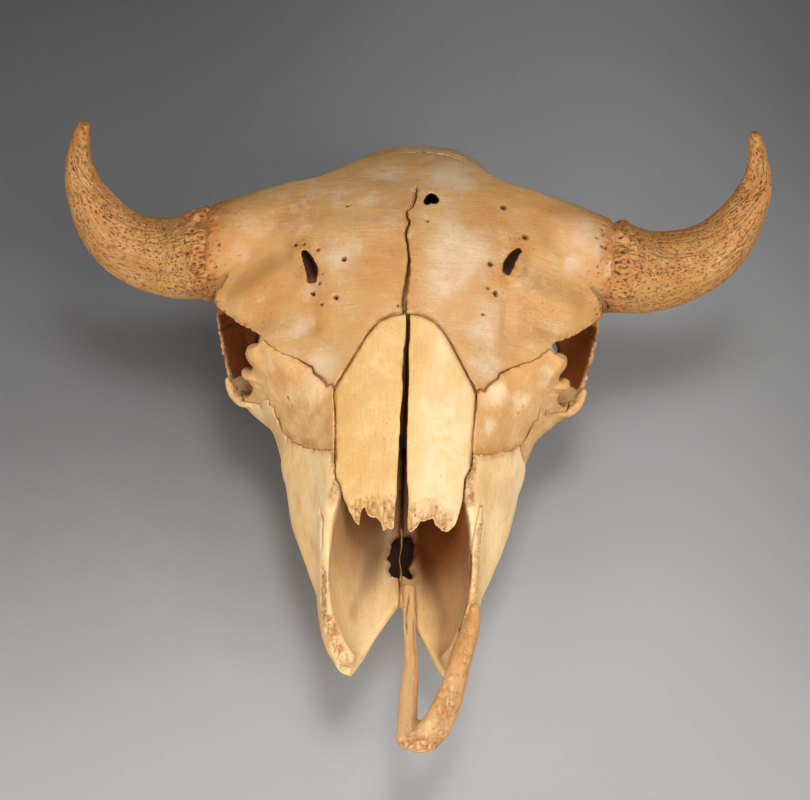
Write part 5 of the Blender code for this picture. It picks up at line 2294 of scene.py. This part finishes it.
@dataclass
class Lacrimal(Bone):
    """The bone in front of the eye socket, with its two knobs and the tear duct's slot."""

    piece: str = "lacrimal_bone"
    voxel: float = 1.05
    seed: int = 200
    ducts: dict[Side, Path] = field(default_factory=lambda: {
        Side.RIGHT: ((-134, 296, 118), (-125, 289.5, 122.5), (-115.6, 282.5, 127)),
        Side.LEFT: ((132, 297, 118), (121.5, 288.5, 125), (113, 281, 130.5)),
    })
    crack: Path = ((93, 255, 134), (86, 244, 140), (78, 235, 143), (74, 226, 137))
    pores: tuple = ((92, 262, 136, 1.5), (89, 256, 134, 1.1), (84, 268, 150, 0.9))

    def tooled(self, block: Thing, side: Side | None) -> Thing:
        """The block with the tear duct's slot."""
        return worked(block, tube("duct", self.ducts[side], [3.6, 2.8, 1.4], [3.0, 2.4, 1.3]), Cut.TAKE_AWAY)

    def weather(self, skin: Skin, side: Side | None, seed: int) -> None:
        """Works the bone's own surface in.

        Args:
            skin: The surface.
            side: The side of the head.
            seed: Which patterns to draw.
        """
        lines = Sutures()
        skin.undulate(24, 0.9, seed)
        skin.undulate(7, 0.25, seed + 1)
        distance, _ = skin.near(ORBIT.line(side), 9)
        edge = ease(8, 2, distance)
        skin.push(edge * 0.7 * cloud(skin.rest, 3.8, seed + 2))
        skin.pit(3.4, 0.5, seed + 3, 0.3 * ease(16, 4, distance), 0.5, 0.24)
        skin.pit(9, 0.7, seed + 4, 0.3, 0.7, 0.1)
        skin.groove(sided(self.crack, side), 1.8, 0.7, 0.55)
        for px, py, pz, radius in self.pores:
            skin.hole((px * side.value, py, pz), radius, 2.2 * radius)
        skin.seam(lines.on_roof(lines.frontolacrimal, side), seed + 20)
        lines.porous(skin, side, seed + 6)
        skin.mark("rust", 0.3 * ease(0.0, 0.6, cloud(skin.rest, 16, seed + 5)) + 0.3 * edge)
        # Pale patches, stronger on the left: bleached bone, and painted light on the side that faces the key
        # lamp.
        for px, py, pz, radius in (
            (92, 258, 142, 13), (72, 252, 158, 16), (66, 228, 146, 12), (112, 280, 150, 12),
        ):
            skin.patch("pale", (px * side.value, py, pz), radius, 0.9 if side is Side.LEFT else 0.5)
        # Painted shade inside the eye socket.
        skin.mark("hollow", ease(2, 7, ORBIT.depth_of(skin.rest, side)) * ease(0.3, -0.2, -skin.out[:, 1]))


@dataclass
class Cheek(Bone):
    """The cheek bone: the lower rim of the eye socket and the front of the arch."""

    piece: str = "cheek_bone"
    voxel: float = 1.1
    seed: int = 300

    def weather(self, skin: Skin, side: Side | None, seed: int) -> None:
        """Works the bone's own surface in.

        Args:
            skin: The surface.
            side: The side of the head.
            seed: Which patterns to draw.
        """
        skin.undulate(22, 0.7, seed)
        skin.undulate(6, 0.2, seed + 1)
        distance, _ = skin.near(ORBIT.line(side), 9)
        edge = ease(6.5, 1.5, distance)
        skin.crust(edge, 1.5, seed + 2)
        skin.pit(3.2, 0.6, seed + 3, 0.35 * ease(14, 4, distance), 0.55, 0.26)
        skin.pit(9, 0.7, seed + 4, 0.2, 0.7, 0.1)
        skin.mark("rust", 0.35 * edge + 0.3 * ease(0.0, 0.6, cloud(skin.rest, 16, seed + 5)))
        patches = 0.55 * ease(-0.6, 0.3, cloud(skin.rest, 20, seed + 6))
        skin.mark("pale" if side is Side.RIGHT else "rust", patches)
        # Painted shade inside the eye socket.
        skin.mark("hollow", ease(1.5, 6, ORBIT.depth_of(skin.rest, side)))


@dataclass
class Maxilla(Bone):
    """One side of the face, from the broken front edge to behind the cheek teeth."""

    piece: str = "upper_jaw"
    seed: int = 400
    broken_edge: Path = (
        (-60, 128, 86), (-58.5, 112.8, 75.8), (-57.5, 105, 70), (-51.2, 93.6, 64), (-46, 82, 57),
        (-38, 70, 48),
    )
    splinter: Path = ((-64, 176, 108), (-60.2, 163, 108.1), (-60.3, 151.1, 98.6), (-60.6, 143.3, 92.0))
    strip: Path = (
        (62, 172, 112), (59.4, 153.3, 102.2), (58.5, 138.1, 92.8), (57.7, 122.5, 84.0), (56, 108, 76),
        (52.2, 95.4, 67.4),
    )
    notch_crust: dict[Side, Path] = field(default_factory=lambda: {
        Side.LEFT: (
            (54, 204, 148), (53.5, 195.3, 143), (51.3, 183.2, 137.5), (50.1, 178.2, 135.5), (53, 170, 128),
        ),
        Side.RIGHT: (
            (-52, 200, 147), (-51.8, 191.4, 142.1), (-49, 181.1, 138.9), (-52, 175, 134.5),
            (-56, 166, 126),
        ),
    })

    def floor_hole(self) -> Thing:
        """A broken way down from the nose's floor into the hollow of the palate.

        Returns:
            The cutting solid.
        """
        rim = (
            (-5, 192), (-8, 186), (-9.5, 177), (-11.5, 171), (-8, 166), (-9, 161), (-6, 156), (-1, 154),
            (3, 156), (9, 153), (11, 158), (8, 163), (10.5, 169), (11.8, 176), (10.5, 189), (5, 195),
        )
        outline = ragged(list(rim) + [rim[0]], 3.0, 0.9, 5)[:-1]
        return slab("floor_hole", outline, level(66), level(44.5), 0)

    def tooled(self, block: Thing, side: Side | None) -> Thing:
        """The block with the hole in the nose's floor and the hollow under it."""
        block = worked(block, self.floor_hole(), Cut.TAKE_AWAY)
        return worked(block, ball("pocket", (0, 176, 44.6), (22, 32, 4.0)), Cut.TAKE_AWAY)

    def weather(self, skin: Skin, side: Side | None, seed: int) -> None:
        """Works the bone's own surface in.

        Args:
            skin: The surface.
            side: The side of the head.
            seed: Which patterns to draw.
        """
        x, y, z = skin.rest.T
        # Painted shade at the bottom of the hollow under the hole in the nose's floor.
        floor = profile(HeadMass().nose_floor)(y)
        well = ease(32, 28, np.abs(x)) * ease(134, 140, y) * ease(220, 214, y) * ease(38.6, 39.8, z)
        skin.mark("shade", ease(-3.2, -4.6, z - floor) * well)
        Sutures().porous(skin, side, seed + 8)
        outer = ease(-0.1, 0.4, skin.out[:, 0] * side.value)
        skin.undulate(34, 0.9, seed)
        skin.undulate(10, 0.3, seed + 1)
        skin.groove(sided(((88, 236, 64), (93, 242, 74), (96, 250, 90)), side), 14, -1.6)
        skin.hole((side.value * 70, 196, 62), 3.4, 6)
        skin.pit(8, 0.7, seed + 2, 0.18, 0.7, 0.1)
        ridge = ((21, 196, 52), (24, 170, 52), (28, 146, 50), (34, 123, 50), (38, 100, 50))
        skin.groove(sided(ridge, side), 9, 1.8, 0.25)
        skin.groove(sided(np.array(ridge) + (-13, 0, 2), side), 9, -2.4)
        # Painted shade inside the nose, more towards the back, and more on the left wall, which faces away
        # from the key lamp.
        inside = ease(60, 52, np.abs(x)) * ease(40, 50, z) * ease(0.5, -0.2, skin.out[:, 0] * side.value)
        deep = inside * ease(110, 215, y)
        skin.mark("hollow", (0.25 if side is Side.RIGHT else 0.62) * inside + 0.65 * deep)
        skin.mark("rust", 0.35 * ease(0.1, 0.7, cloud(skin.rest * (1, 0.4, 1), 20, seed + 3)))
        skin.mark("pale", 0.5 * outer * ease(0.0, 0.5, cloud(skin.rest * (1, 0.3, 1), 24, seed + 4)))
        wavy = y + 14 * cloud(skin.rest * (1, 0.3, 1), 22, seed + 14)
        skin.mark("rust", 0.4 * outer * ease(150, 105, wavy))
        self.front(skin, side, seed)
        rough, _ = skin.near(self.notch_crust[side], 9)
        skin.broken(ease(6.5, 2.5, rough + 1.5 * cloud(skin.rest, 5, seed + 10)), 1.7, seed + 11)
        skin.mark("rust", 0.5 * ease(8, 3, rough))

    def front(self, skin: Skin, side: Side, seed: int) -> None:
        """Breaks the right bone's front edge open; lays the left bone's inner edge bare.

        Args:
            skin: The surface.
            side: The side of the head.
            seed: Which patterns to draw.
        """
        if side is Side.RIGHT:
            distance, share = skin.near(self.broken_edge, 12)
            crumbled = ease(7.0, 3.2, distance + 2.5 * cloud(skin.rest, 6, seed + 12))
            skin.push(-0.9 * crumbled)
            skin.broken(crumbled, 2.0, seed + 5)
            skin.pit(3.8, 2.0, seed + 6, 0.9 * crumbled * ease(0.85, 0.6, share), 0.95, 0.42)
            skin.groove(self.splinter, 2.6, 1.8, 0.9)
            patchy = ease(-0.6, 0.0, cloud(skin.rest, 5, seed + 7))
            skin.mark("rust", crumbled * ease(0.9, 0.55, share) * patchy)
        else:
            distance, _ = skin.near(self.strip, 12)
            bare = ease(5.0, 3.0, distance + 1.2 * cloud(skin.rest, 5, seed + 13))
            skin.push(0.8 * bare - 1.3 * ease(1.3, 0, np.abs(distance - 5.4)))
            skin.broken(0.75 * bare, 0.9, seed + 5, (1, 0.5, 1))
            skin.pit(5.0, 0.9, seed + 6, 0.4 * bare, 0.7, 0.2)
            skin.mark("shade", 0.6 * ease(1.4, 0.2, np.abs(distance - 5.4)))


@dataclass
class Palatine(Bone):
    """The back of the hard palate and the plates beside the nose's way out."""

    piece: str = "palate_bone"
    voxel: float = 1.4
    smoothing: int = 2
    seed: int = 500

    def weather(self, skin: Skin, side: Side | None, seed: int) -> None:
        """Works the bone's own surface in.

        Args:
            skin: The surface.
            side: Not used; None, as the bone is on the middle.
            seed: Which patterns to draw.
        """
        skin.undulate(14, 0.5, seed + 1)
        skin.groove([(0, 268, 40), (0.5, 285, 40), (0, 302, 42)], 2.4, 0.8, 0.7)
        for half in Side:
            skin.hole((half.value * 22, 276, 38), 2.4, 4)
        skin.pit(7, 0.7, seed + 2, 0.3, 0.7, 0.12)
        # Painted shade on the faces that look up.
        skin.mark("hollow", 0.5 * ease(-0.2, 0.4, skin.out[:, 2]))
        skin.mark("rust", 0.3 * ease(0.0, 0.6, cloud(skin.rest, 14, seed + 3)))


@dataclass
class Braincase(Bone):
    """The back and base of the head, from the eye sockets' inner walls to the condyles."""

    piece: str = "skull_base"
    voxel: float = 1.8
    smoothing: int = 2
    seed: int = 600
    nuchal_lines: Path = (
        (-86, 516, 128), (-52, 519, 146), (-20, 521, 156), (6, 522, 158), (32, 521, 156), (64, 519, 144),
        (92, 514, 122),
    )

    def weather(self, skin: Skin, side: Side | None, seed: int) -> None:
        """Works the bone's own surface in.

        Args:
            skin: The surface.
            side: Not used; None, as the bone is on the middle.
            seed: Which patterns to draw.
        """
        x, y, z = skin.rest.T
        back = ease(0.2, 0.7, skin.out[:, 1])
        skin.undulate(38, 1.1, 104)
        skin.undulate(13, 0.5, 105)
        skin.groove(CREASE, 5, 1.6, 0.35)
        across = skin.rest * FIBRES
        hump = ease(0.1, 0.5, skin.out[:, 2]) * ease(150, 170, z)
        skin.push(-0.22 * np.abs(cloud(across, 3.2, 107, 2)) * hump)
        skin.mark("shade", 0.22 * ease(-0.2, 0.7, cloud(across, 5, 108)) * hump)
        skin.groove(self.nuchal_lines, 9, -2.2)
        skin.groove([(6, 520, 160), (4, 522, 140), (1, 522, 118)], 8, -1.8)
        for s in (-1, 1):
            skin.groove([(s * 22, 523, 150), (s * 34, 523, 134), (s * 40, 523, 116)], 14, 2.2)
            skin.groove([(s * 66, 508, 60), (s * 58, 516, 66), (s * 50, 522, 76)], 7, 2.4, 0.3)
            skin.hole((s * 46, 500, 66), 3.2, 5)
            skin.hole((s * 111, 452, 98), 4.5, 8)
            skin.hole((s * 30, 392, 82), 3.0, 5)
            skin.hole((s * 70, 420, 92), 2.4, 5)
        skin.pit(5.5, 0.9, seed + 3, 0.3 * back + 0.12, 0.7, 0.16)
        skin.pit(13, 1.1, seed + 4, 0.3, 0.8, 0.09)
        # Painted shade inside the eye sockets and at the back of the nose.
        socket = np.maximum(*(ease(3, 8, ORBIT.depth_of(skin.rest, half)) for half in Side))
        nose = ease(50, 40, np.abs(x)) * ease(348, 320, y) * ease(55, 70, z)
        skin.mark("hollow", np.maximum(socket, nose))
        skin.mark("rust", 0.45 * ease(0.0, 0.6, cloud(skin.rest, 22, seed + 5)))
        skin.mark("pale", 0.6 * ease(0.2, 0.6, cloud(skin.rest, 26, seed + 6)) * (1 - back))


@dataclass
class CheekTeeth:
    """The row of cheek teeth of one side, worn flat, two lobes to each molar."""

    lengths: tuple[float, ...] = (16, 18, 19, 25, 29, 32)
    widths: tuple[float, ...] = (14, 17, 20, 25, 27, 25)
    start: float = 159.0
    root: float = 30.0
    around: int = 72
    levels: int = 14
    rings: int = 14
    single: int = 3

    def crown(self, middle: float, start: float, length: float, width: float, lobes: int) -> Callable:
        """The plan outline of one tooth at a share of its full size.

        Args:
            middle: Where the tooth stands across the row.
            start: Where it begins along the row.
            length: Its length along the row.
            width: Its width.
            lobes: How many lobes it has.

        Returns:
            A function from a share and angles to points in plan on the left side.
        """

        def outline(share: float, turn: np.ndarray) -> np.ndarray:
            """Points round the tooth, ribs outside and a fold between the lobes.

            Args:
                share: The tooth's share of its full size.
                turn: The angles.

            Returns:
                Points in plan.
            """
            along = np.sin(turn)
            outer = np.cos(turn)
            fold = np.abs(np.cos(math.pi * lobes * 0.5 * (along + 1))) if lobes > 1 else np.ones_like(turn)
            ribs = 0.10 * np.cos(2 * math.pi * lobes * along) * (outer > 0)
            bulge = np.sign(outer) * np.abs(outer) ** 0.6 * (0.80 + 0.20 * fold + ribs)
            ends = np.sign(along) * np.abs(along) ** 0.75
            return np.column_stack([
                middle + 0.5 * width * share * bulge, start + 0.5 * length + 0.49 * length * share * ends,
            ])

        return outline

    def relief(self, x: np.ndarray, y: np.ndarray, middle: float, start: float, length: float, width: float,
               lobes: int) -> tuple[np.ndarray, np.ndarray]:
        """The worn face's height and the dark of its crescents.

        Args:
            x: Places across the row.
            y: Places along it.
            middle: Where the tooth stands across the row.
            start: Where it begins along the row.
            length: Its length.
            width: Its width.
            lobes: How many lobes it has.

        Returns:
            Heights and darks, from 0 to 1.
        """
        height, dark = np.zeros_like(x), np.zeros_like(x)
        for lobe in range(lobes):
            centre = start + length * (lobe + 0.5) / lobes
            along = (y - centre) / (0.5 * length / lobes)
            bow = (x - middle) / (0.5 * width) - 0.12 + 0.42 * along**2
            crescent = ease(0.16, 0.04, np.abs(bow)) * ease(0.86, 0.6, np.abs(along))
            enamel = ease(0.30, 0.22, np.abs(bow)) * ease(0.95, 0.8, np.abs(along)) - crescent
            height += -2.4 * crescent + 0.7 * np.clip(enamel, 0, 1)
            dark = np.maximum(dark, crescent)
        return height, dark

    def build(self, side: Side) -> Thing:
        """Makes the row.

        Args:
            side: The side of the head.

        Returns:
            The piece.
        """
        turn = np.linspace(0, 2 * math.pi, self.around, endpoint=False)
        points, darks, faces = [], [], []
        y = self.start
        for i, (length, width) in enumerate(zip(self.lengths, self.widths)):
            lobes = 1 if i < self.single else 2
            middle = 51 + 9 * (y + length / 2 - self.start) / sum(self.lengths)
            outline = self.crown(middle, y, length, width, lobes)
            rows = []
            for level in np.linspace(0, 1, self.levels):
                swell = 0.84 + 0.16 * ease(0, 0.5, level) - 0.05 * float(ease(0.92, 1, level))
                plan = outline(swell, turn)
                rows.append(np.column_stack([plan, np.full(len(turn), self.root * (1 - level))]))
                darks.append(np.full(len(turn), 0.25 * (1 - level)))
            for share in np.linspace(0.96, 0.04, self.rings):
                plan = outline(share * 0.95, turn)
                rise, dark = self.relief(plan[:, 0], plan[:, 1], middle, y, length, width, lobes)
                cusp = 1.3 * ease(0.5, 1, share) - 0.9
                rows.append(np.column_stack([plan, 0.2 - rise - cusp * (share < 0.97)]))
                darks.append(dark)
            base = sum(len(p) for p in points)
            rings = np.array(rows)
            count = len(rings)
            points.append(rings.reshape(-1, 3))
            for r in range(count - 1):
                for k in range(self.around):
                    j = (k + 1) % self.around
                    a, b = base + r * self.around, base + (r + 1) * self.around
                    faces.append((a + k, a + j, b + j, b + k))
            faces.append(tuple(base + k for k in range(self.around))[::-1])
            faces.append(tuple(base + (count - 1) * self.around + k for k in range(self.around)))
            y += length
        mesh = bpy.data.meshes.new("cheek_teeth_" + side.word)
        every = np.vstack(points) * (side.value, 1, 1)
        mesh.from_pydata(every.tolist(), [], faces)
        skin = Skin(outward(link(mesh, mesh.name)))
        skin.push(0.22 * cloud(skin.rest * (1, 1, 0.3), 4, 700 + side.value))
        skin.mark("shade", np.concatenate(darks) * 0.9)
        skin.mark("rust", 0.5 * ease(8, 26, skin.rest[:, 2]))
        skin.mark("pale", 0.4 * ease(0.1, 0.6, cloud(skin.rest * (1, 1, 0.3), 7, 703)))
        return skin.done()


@dataclass
class Vomer:
    """The last strand of the thin bone along the middle of the nose's floor."""

    path: Path = ((0.8, 151, 51), (1.2, 160, 51.5), (-0.4, 170, 52), (1.0, 182, 53.5), (0.4, 197, 55))

    def build(self) -> Thing:
        """Makes the strand.

        Returns:
            The piece.
        """
        strand = tube("vomer", self.path, [0.9, 0.45, 0.4, 0.5, 0.9], [3.0, 1.2, 0.9, 1.3, 3.0], count=60)
        skin = Skin(strand)
        skin.undulate(5, 0.2, 801)
        skin.mark("rust", np.full(len(skin.at), 0.5))
        return skin.done()


@dataclass
class Skull:
    """The whole skull, bone by bone."""

    sutures: Sutures = field(default_factory=Sutures)
    body: str = "root"

    def keep(self, thing: Thing, finish: BoneFinish, slot: str, *nodes: str) -> None:
        """Dresses a piece and sets it on the frame.

        Args:
            thing: The piece.
            finish: Its finish.
            slot: Not used.
            nodes: The model's nodes that it takes the place of.
        """
        finish.dress(thing)
        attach(thing, self.body)
        if nodes:
            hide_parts(*nodes)
        LOG.info("%s: %d faces", thing.name, len(thing.data.polygons))

    def part(self, head: Thing, region: Thing, wider: Thing, name: str) -> tuple[Thing, Thing]:
        """Parts one bone from the head.

        Args:
            head: What is left of the head.
            region: Where the bone is.
            wider: The same grown by the suture's gap.
            name: The bone's name.

        Returns:
            The bone's block and what is left.
        """
        block = worked(copied(head, name + "_block"), region, Cut.KEEP_SHARED)
        return block, worked(head, wider, Cut.TAKE_AWAY)

    def build(self) -> None:
        """Makes every bone and tooth, in the order that they come apart."""
        nasal, front, lines = Nasal(), Premaxilla(), self.sutures
        head = HeadMass().build()
        LOG.info("fused head: %d faces", len(head.data.polygons))
        head = worked(head, lines.crack_wall(), Cut.TAKE_AWAY)
        for side in Side:
            head = worked(head, nasal.bed(side), Cut.TAKE_AWAY)
            self.keep(nasal.build(side), NASAL_FINISH, "nasal", "nasal_" + side.word)
        head = worked(head, front.bed(), Cut.TAKE_AWAY)
        self.keep(front.build(), SNOUT_FINISH, "premaxilla", "premaxilla_left")
        for side in Side:
            head = worked(head, lines.horn(side, SUTURE_GAP), Cut.TAKE_AWAY)
            name = "horn_core_" + side.word
            self.keep(HornCore().build(side), HORN_FINISH, "horn_core", name)
        for label, region, maker, finish in (
            ("frontal", lines.frontal, Frontal(), FRONTAL_FINISH),
            ("lacrimal", lines.lacrimal, Lacrimal(), CHEEK_FINISH),
            ("zygomatic", lines.cheek, Cheek(), CHEEK_FINISH),
        ):
            for side in Side:
                name = label + "_" + side.word
                block, head = self.part(head, region(side), region(side, SUTURE_GAP), name)
                self.keep(maker.build(block, side), finish, label, name)
        block, head = self.part(head, lines.palatine(), lines.palatine(SUTURE_GAP), "palatine")
        self.keep(Palatine().build(block), BASE_FINISH, "palatine", "palatine")
        for side in Side:
            name = "maxilla_" + side.word
            block, head = self.part(head, lines.maxilla(side), lines.maxilla(side, SUTURE_GAP), name)
            self.keep(Maxilla().build(block, side), FACE_FINISH, "maxilla", name)
            self.keep(CheekTeeth().build(side), TOOTH_FINISH, "maxilla")
        self.keep(Vomer().build(), SNOUT_FINISH, "maxilla")
        self.keep(Braincase().build(head), BASE_FINISH, "braincase", "braincase")


@dataclass(frozen=True)
class FloorFinish:
    """A pale matt floor with painted light falloff: darker away from the camera and to either side of
    bright_at.
    """

    # The floor colour near the camera and far off, graded as painted light falloff.
    near: Colour = (0.36, 0.36, 0.365)
    far: Colour = (0.175, 0.175, 0.178)
    bright_at: float = 0.15
    roughness: float = 0.9

    def material(self) -> bpy.types.Material:
        """Builds the finish.

        Returns:
            The material.
        """
        bench = Bench("pale floor")
        place = bench.node("ShaderNodeTexCoord", out="Object")
        speckle = bench.noise(place, 30.0, 6.0, 0.6)
        parts = bench.node("ShaderNodeSeparateXYZ", sockets={0: place}, out="Y")
        away = bench.node("ShaderNodeSeparateXYZ", sockets={0: place}, out="X") - self.bright_at
        away = bench.node("ShaderNodeMath", {"operation": "ABSOLUTE"}, {0: away})
        edges = bench.spread(parts + speckle * 0.04, -0.30, 0.12)
        depth = edges * (bench.spread(away, 0.0, 0.42) * 0.75 + 0.25)
        bench.feed(bench.shader.inputs["Base Color"], bench.blend(depth, self.near, self.far))
        bench.feed(bench.shader.inputs["Roughness"], self.roughness)
        bench.feed(bench.shader.inputs["Specular IOR Level"], 0.15)
        return bench.material


@dataclass
class Studio:
    """Floor, soft lights and the camera above the nose."""

    floor_size: float = 9.0
    camera_at: tuple[float, float, float] = (-0.005105, -0.84012, 1.4715)
    elevation: float = 57.7126
    roll: float = 1.9
    lens: float = 88.889
    sensor: float = 36.0
    lamps: tuple = (
        ("key", (0.88, -0.62, 1.0), 0.5, 5.6, (1.0, 0.99, 0.97), 180),
        ("low key", (0.75, -1.0, 0.6), 0.5, 6.0, (1.0, 0.98, 0.95), 180),
        ("low fill", (-0.75, -1.0, 0.6), 0.6, 12.5, (1.0, 0.965, 0.92), 180),
        ("high", (0.5, -1.0, 1.7), 0.7, 0.65, (1.0, 0.98, 0.96), 45),
        ("top", (0.10, 0.12, 1.5), 0.5, 1.05, (0.98, 0.99, 1.0), 50),
    )
    ambient: Colour = (0.12, 0.12, 0.124)

    def build(self) -> None:
        """Sets up floor, lights and camera."""
        self.floor()
        for lamp in self.lamps:
            self.lamp(*lamp)
        world = bpy.data.worlds.new("studio air")
        bpy.context.scene.world = world
        world.use_nodes = True
        world.node_tree.nodes["Background"].inputs["Color"].default_value = (*self.ambient, 1)
        self.camera()
        bpy.context.scene.view_settings.view_transform = "Standard"
        LOG.info("studio ready")

    def floor(self) -> None:
        """Lays the floor under the skull."""
        half = self.floor_size / 2
        mesh = bpy.data.meshes.new("floor")
        corners = [(-half, -half, 0), (half, -half, 0), (half, half, 0), (-half, half, 0)]
        mesh.from_pydata(corners, [], [(0, 1, 2, 3)])
        thing = link(mesh, "floor")
        mesh.materials.append(FloorFinish().material())

    def lamp(self, name: str, place: tuple[float, float, float], size: float, power: float, colour: Colour,
             spread: float) -> None:
        """Hangs one soft square lamp, turned to the skull.

        Args:
            name: Its name.
            place: Where it hangs.
            size: Its side.
            power: Its power in watts.
            colour: Its colour.
            spread: The angle of its beam in degrees.
        """
        data = bpy.data.lights.new(name, "AREA")
        data.energy, data.size, data.color, data.spread = power, size, colour, math.radians(spread)
        lamp = bpy.data.objects.new(name, data)
        bpy.context.scene.collection.objects.link(lamp)
        lamp.location = place
        lamp.rotation_euler = (Vector((0, 0, 0.1)) - Vector(place)).to_track_quat("-Z", "Y").to_euler()

    def camera(self) -> None:
        """Stands the camera where the picture was taken from."""
        data = bpy.data.cameras.new("camera")
        data.lens, data.sensor_width = self.lens, self.sensor
        eye = bpy.data.objects.new("camera", data)
        bpy.context.scene.collection.objects.link(eye)
        lean = Matrix.Rotation(math.radians(90 - self.elevation), 4, "X")
        turn = Matrix.Rotation(math.radians(self.roll), 4, "Z")
        eye.matrix_world = Matrix.Translation(self.camera_at) @ lean @ turn
        bpy.context.scene.camera = eye


def main() -> None:
    """Builds the studio and the skull."""
    logging.basicConfig(level=logging.INFO, format="%(name)s %(message)s")
    Studio().build()
    Skull().build()


if __name__ == "__main__":
    main()
